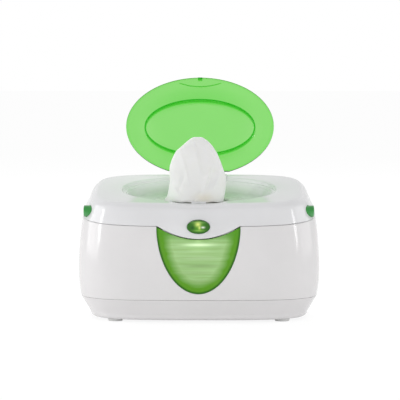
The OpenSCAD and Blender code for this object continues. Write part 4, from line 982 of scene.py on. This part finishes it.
def slot_ring(length, wide, z, count):
    """Ring round a slot, at even steps along its outline."""
    half, r = (length - wide) / 2, wide / 2
    arc, straight = pi * r / 2, 2 * half
    run = 2 * (straight + 2 * arc) * np.arange(count) / count
    left = np.clip(run - arc, 0, straight)
    right = np.clip(run - 3 * arc - straight, 0, straight)
    turn = (run - left - right) / r
    return xyz(half - left + right + r * np.cos(turn), r * np.sin(turn), z)


def dispenser_insert():
    slot = lambda grow, z: slot_ring(66 + 2 * grow, 13 + 2 * grow, z, 96)
    outer = lambda a, b, z: oval_ring(a, b, z, 96)
    rings = [outer(50, 29, 0), outer(50, 29, 0.9), outer(49.7, 28.7, 1.25), outer(49.2, 28.2, 1.4)]
    rings.append(mix(rings[-1], slot(4, 1.4), 0.5))
    rings += [slot(grow, z) for grow, z in (
        (4, 1.4), (3.4, 1.75), (2.2, 2.1), (1, 2), (0.3, 1.5), (0, 0.8), (0, -2), (0.3, -2.5),
        (1, -2.6))]
    rings += [outer(45.6, 24.6, -2.6), outer(45.6, 24.6, 0)]
    return smooth(loft("dispenser_plate", [on_floor(r) for r in rings], loop=True), 40)


# ---------------- wipes

# Height against the place of the wipe's outline, to the left and to the right
LEFT_EDGE = (
    (118, -22), (124, -23), (130.4, -26), (131.2, -38.5), (133, -36.6), (136, -35.4),
    (140, -34.4), (152, -32.3), (162.7, -33.2), (168.7, -32.6), (175, -30.6),
    (180, -28.4), (185, -25.6), (188.5, -21.6), (192, -17.6), (196, -13.2), (199, -9.0),
    (200.3, -6.4))
RIGHT_EDGE = (
    (118, 22), (124, 23), (130.4, 25.6), (131.2, 27.8), (135, 28.4), (143, 29.4),
    (150, 30), (157.6, 29.5), (162.7, 27.8), (173.6, 23.9), (182.5, 20.1),
    (189.7, 15.6), (194, 12), (196.5, 9.2), (199, 5.6), (200.3, 3.0))
# Height against half the thickness, from inside the slot over its lip and up
WIPE_SIDE = (
    (119.5, 4.6), (130.2, 4.8), (131.7, 6.6), (131.2, 10), (129.8, 16), (128.6, 20.6),
    (128.9, 22.4), (131.2, 22.2), (136, 19.2), (145, 15.6), (160, 13), (178, 10.4),
    (190, 7.2), (197, 4.2), (200.3, 1.2))
# Two ends, width and height of each fold
CREASES = (
    (15.5, 170, 5, 141, 3.2, 2.6), (-21, 186, -9, 146, 4.5, 1.3),
    (-6, 198, 3, 158, 4.0, 0.9), (24, 160, 12, 134, 3.0, 1.6),
    (-30, 150, -19, 131, 3.5, 1.5), (4, 141, -10, 127, 3.5, -1.5),
    (21, 176, 9, 184, 3.0, -0.9), (-14, 165, -24, 137, 3.0, -1.1))


def crease_depth(x, z):
    """How far the cloth stands out along its folds."""
    depth = 0 * x
    for x0, z0, x1, z1, wide, high in CREASES:
        along = np.array([x1 - x0, z1 - z0])
        length = np.hypot(*along)
        s = ((x - x0) * along[0] + (z - z0) * along[1]) / length ** 2
        off = ((x - x0) * along[1] - (z - z0) * along[0]) / length
        ends = np.clip(1.25 - np.abs(s - 0.5) * 2, 0, 1)
        side = np.where(off > 0, off / wide, -off / (0.45 * wide))
        depth += high * ends * np.exp(-side ** 1.5)
    return depth


def pulled_wipe():
    """The wipe standing in the slot: one sheet, its two edges meeting at the back."""
    count, levels, high, gap = 200, 90, 200.3, 0.06
    t = pi / 2 + np.linspace(gap, 2 * np.pi - gap, count)
    c, d = np.cos(t), np.sin(t)
    floor = top_at(-RECESS_Y) - RECESS_H
    side = np.array(WIPE_SIDE)
    run = np.r_[0, np.cumsum(np.hypot(*np.diff(side, axis=0).T))]
    rings = []
    for s in run[-1] * (1 - (1 - np.linspace(0, 1, levels)) ** 1.15):
        z, deep = np.interp(s, run, side[:, 0]), np.interp(s, run, side[:, 1])
        # The outline keeps to the slot below its lip and starts above the hem
        level = max(z, 131.2) if s > run[4] else min(z, 130.5)
        left, right = (np.interp(level, *zip(*edge)) for edge in (LEFT_EDGE, RIGHT_EDGE))
        up = max(0, (z - floor) / (high - floor))
        free = min(1, max(0, (s - run[2]) / 4))
        x = (left + right) / 2 + (right - left) / 2 * np.sign(c) * np.abs(c) ** 0.9
        rear = min(deep, 4.8 + max(0.0, z - 133) * 0.6)
        swell = np.where(d > 0, rear, deep) * np.sign(d) * np.abs(d) ** 0.9
        y = swell - free * 9 * sin(radians(150 * up)) - RECESS_Y
        y = y - np.where(d < 0, free * crease_depth(x, z) * np.abs(d) ** 0.7, 0)
        y = y + 0.35 * np.sin(0.9 * x + 0.05 * z) * (1 - free) + 0.25 * np.sin(0.23 * x + 0.11 * z)
        ripple = 0.7 * exp(-((z - 132) / 4) ** 2) * free
        rings.append(xyz(x, y, z + ripple * np.sin(0.45 * x + 1)))
    peak = rings[-1].mean(axis=0) + [0, 0, 0.15]
    last, tip = (levels - 1) * count, levels * count
    faces = []
    for foot in range(0, last, count):
        faces += band(foot, foot + count, count, closed=False)
    faces += [(last + k, last + k + 1, tip) for k in range(count - 1)]
    return smooth(mesh_object("pulled_wipe", np.vstack(rings + [peak]), faces), 80)


def wipe_layers():
    """Folded wipes in the tub: each is a sheet bent round one long edge."""
    layers, pitch, floor, bend = 11, 4.6, 37.9, 1.15
    points, faces = [], []
    along = np.linspace(-93, 93, 40)
    for layer in range(layers):
        side = 1 if layer % 2 else -1
        path = [(y, bend) for y in np.linspace(-51, 50, 22)]
        path += [(50.6 + y, 2.3 + z) for y, z in arc_points(bend, -80, 80, 7)]
        path += [(y, 3.45) for y in np.linspace(50, -51, 22)]
        m, first, shift = len(path), len(points), 0.5 * sin(2.1 * layer)
        for x in along:
            for y, z in path:
                y = side * y
                wave = 0.22 * sin(0.06 * y + layer) if layer else 0
                wave *= sin(0.11 * x + 1.7 * layer + 0.05 * y)
                points.append((x + shift, y, floor + layer * pitch + z + wave))
        for row in range(first, len(points) - m, m):
            faces += [(a, a + 1, a + m + 1, a + m) for a in range(row, row + m - 1)]
    sheet = mesh_object("folded_wipes", points, faces)
    return smooth(bake(sheet, "SOLIDIFY", thickness=0.0016, offset=0.0), 60)


# ---------------- pieces on their bodies

dress(casing_shell(), "housing", WHITE_CASING, "outer_shell", slot="white_shell")
dress(base_pan(), "housing", WHITE_CASING, "base_pan", slot="white_shell")
dress(view_window(), "housing", WINDOW_GREEN, "view_window", slot="green_window")
dress(wipe_tub(), "housing", MILKY_TUB, "wipe_tub", slot="clear_tub")
stack = dress(wipe_layers(), "housing", CLOTH, "wipe_stack", slot="wipes")
dress(lid_cover(), "main_lid", WHITE_LID, "lid_cover", slot="white_lid")
dress(dispenser_insert(), "main_lid", WHITE_INNER, "dispenser_insert", slot="white_inner")
dress(flip_lid(), "flip_lid", LID_GREEN, "flip_lid", slot="green_clear")
dress(front_lens(), "front_button", BUTTON_FRONT, slot="green_button")
dress(side_lens(-1), "side_button_left", BUTTON_GREEN, slot="green_button")
dress(side_lens(1), "side_button_right", BUTTON_GREEN, slot="green_button")
wipe = dress(pulled_wipe(), "main_lid", CLOTH, "pop_up_wipe", slot="wipes")
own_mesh(wipe)

LOOKS = (
    (STEEL, "base_screws plate_screws thermal_fuse board_screws inlet_nut led_screws hinge_pins "
            "liner_screws bracket_screws flip_hinge_pin"),
    (SPRING, "button_spring side_spring_left side_spring_right flip_spring"),
    (BUTTON_GREEN, "front_button side_button_left side_button_right"),
    (WHITE_INNER, "lid_liner button_bracket"), (WIRE, "inlet_wires heater_wires led_wires"),
    (BOARD, "control_board led_board"), (RUBBER, "rubber_feet"), (PLATE, "heater_plate"),
    (FILM, "heater_film"), (PAD, "insulation_pad"), (TAN, "thermostat"), (BLACK, "dc_inlet"),
    (SEAL, "lid_seal"))
for look, names in LOOKS:
    for obj in (o for o in bpy.data.objects if o.type == "MESH" and o.name in names.split()):
        for place in obj.material_slots:
            place.link = "OBJECT"
            place.material = look
        if not obj.material_slots:
            obj.data.materials.append(look)

# ---------------- stage, lamps and camera

def white_stage():
    made = new_material("white_stage")
    tree, shader = material_tree(made)
    grain = noise(tree, object_space(tree), 3.0)
    fill(tree, shader.inputs, {"Base Color": (0.9, 0.9, 0.9),
                               "Roughness": span(tree, grain, 0, 1, 0.85, 0.95)})
    path = node(tree, "LightPath").outputs
    camera_share, glossy_share = (maths(tree, "MULTIPLY", path[f"Is {ray} Ray"], 0.8)
                                  for ray in ("Camera", "Glossy"))
    through = maths(tree, "MAXIMUM", path["Is Transmission Ray"], glossy_share)
    strength = span(tree, path["Is Camera Ray"], 0, 1, 1.0, 1.1)
    glow = node(tree, "Emission", {"Color": (1, 1, 1), "Strength": strength})
    total = node(tree, "MixShader", {0: maths(tree, "MAXIMUM", camera_share, through),
                                     1: shader.outputs[0], 2: glow.outputs[0]})
    feed(tree, tree.nodes["Material Output"].inputs["Surface"], total.outputs[0])
    return made


def stage_floor():
    half = 6.0
    mesh = bpy.data.meshes.new("stage_floor")
    mesh.from_pydata([(-half, -half, 0), (half, -half, 0), (half, half, 0), (-half, half, 0)], [],
                     [(0, 1, 2, 3)])
    mesh.materials.append(white_stage())
    new_object("stage_floor", mesh)


def aim(obj, place, way):
    obj.location = place
    obj.rotation_euler = way.to_track_quat("-Z", "Y").to_euler()
    return obj


def lamp(name, place, target, size, power, colour=(1, 1, 1)):
    light = bpy.data.lights.new(name, "AREA")
    light.shape = "RECTANGLE"
    light.size, light.size_y = size
    light.energy = power
    light.color = colour
    return aim(new_object(name, light), place, Vector(target) - Vector(place))


def world_light():
    world = bpy.data.worlds.new("studio")
    bpy.context.scene.world = world
    world.use_nodes = True
    tree = world.node_tree
    path = node(tree, "LightPath").outputs
    seen = maths(tree, "MAXIMUM", path["Is Camera Ray"], path["Is Transmission Ray"])
    shine = span(tree, path["Is Glossy Ray"], 0, 1, 0.52, 0.85)
    fill(tree, tree.nodes["Background"].inputs, {
        "Color": (1, 1, 1), "Strength": span(tree, seen, 0, 1, shine, 1.0)})


stage_floor()
world_light()
lamp("left_softbox", (-1.62, -0.62, 0.42), (0, 0, 0.1), (0.14, 0.4), 2.0)
lamp("right_softbox", (1.55, -0.78, 0.42), (0, 0, 0.1), (0.12, 0.45), 1.6)
lamp("left_fill", (-2.0, 0.0, 0.5), (0, 0, 0.1), (1.6, 0.9), 10)
lamp("right_fill", (2.0, 0.2, 0.5), (0, 0, 0.1), (1.6, 0.9), 5)
lid_cast = lamp("lid_cast", (-0.03, 0.03, 0.235), (-0.03, -0.02, 0.13), (0.11, 0.05), 0.02,
                (0.7, 1.0, 0.66))
lid_cast.visible_camera = lid_cast.visible_glossy = lid_cast.visible_transmission = False
for soft in (lamp("front_softbox", (0, -2.6, 0.22), (0, 0, 0.08), (2.0, 0.4), 12),
             lamp("top_softbox", (0, 0.2, 1.9), (0, 0, 0.1), (1.4, 1.0), 0.9),
             lamp("back_softbox", (0, 1.45, 1.45), (0, 0, 0.13), (1.0, 0.4), 9)):
    soft.visible_glossy = soft.visible_transmission = False

view = bpy.data.cameras.new("photo_view")
view.lens, view.sensor_width = 241.41, 36.0
view.clip_start, view.clip_end = 0.05, 20
turn, pitch = radians(0.587), radians(4.726)
level_part = cos(pitch)
look = Vector((-sin(turn) * level_part, cos(turn) * level_part, -sin(pitch)))
bpy.context.scene.camera = aim(new_object("photo_view", view), (0.03149, -3.0, 0.37664), look)
bpy.context.scene.view_settings.view_transform = "Standard"
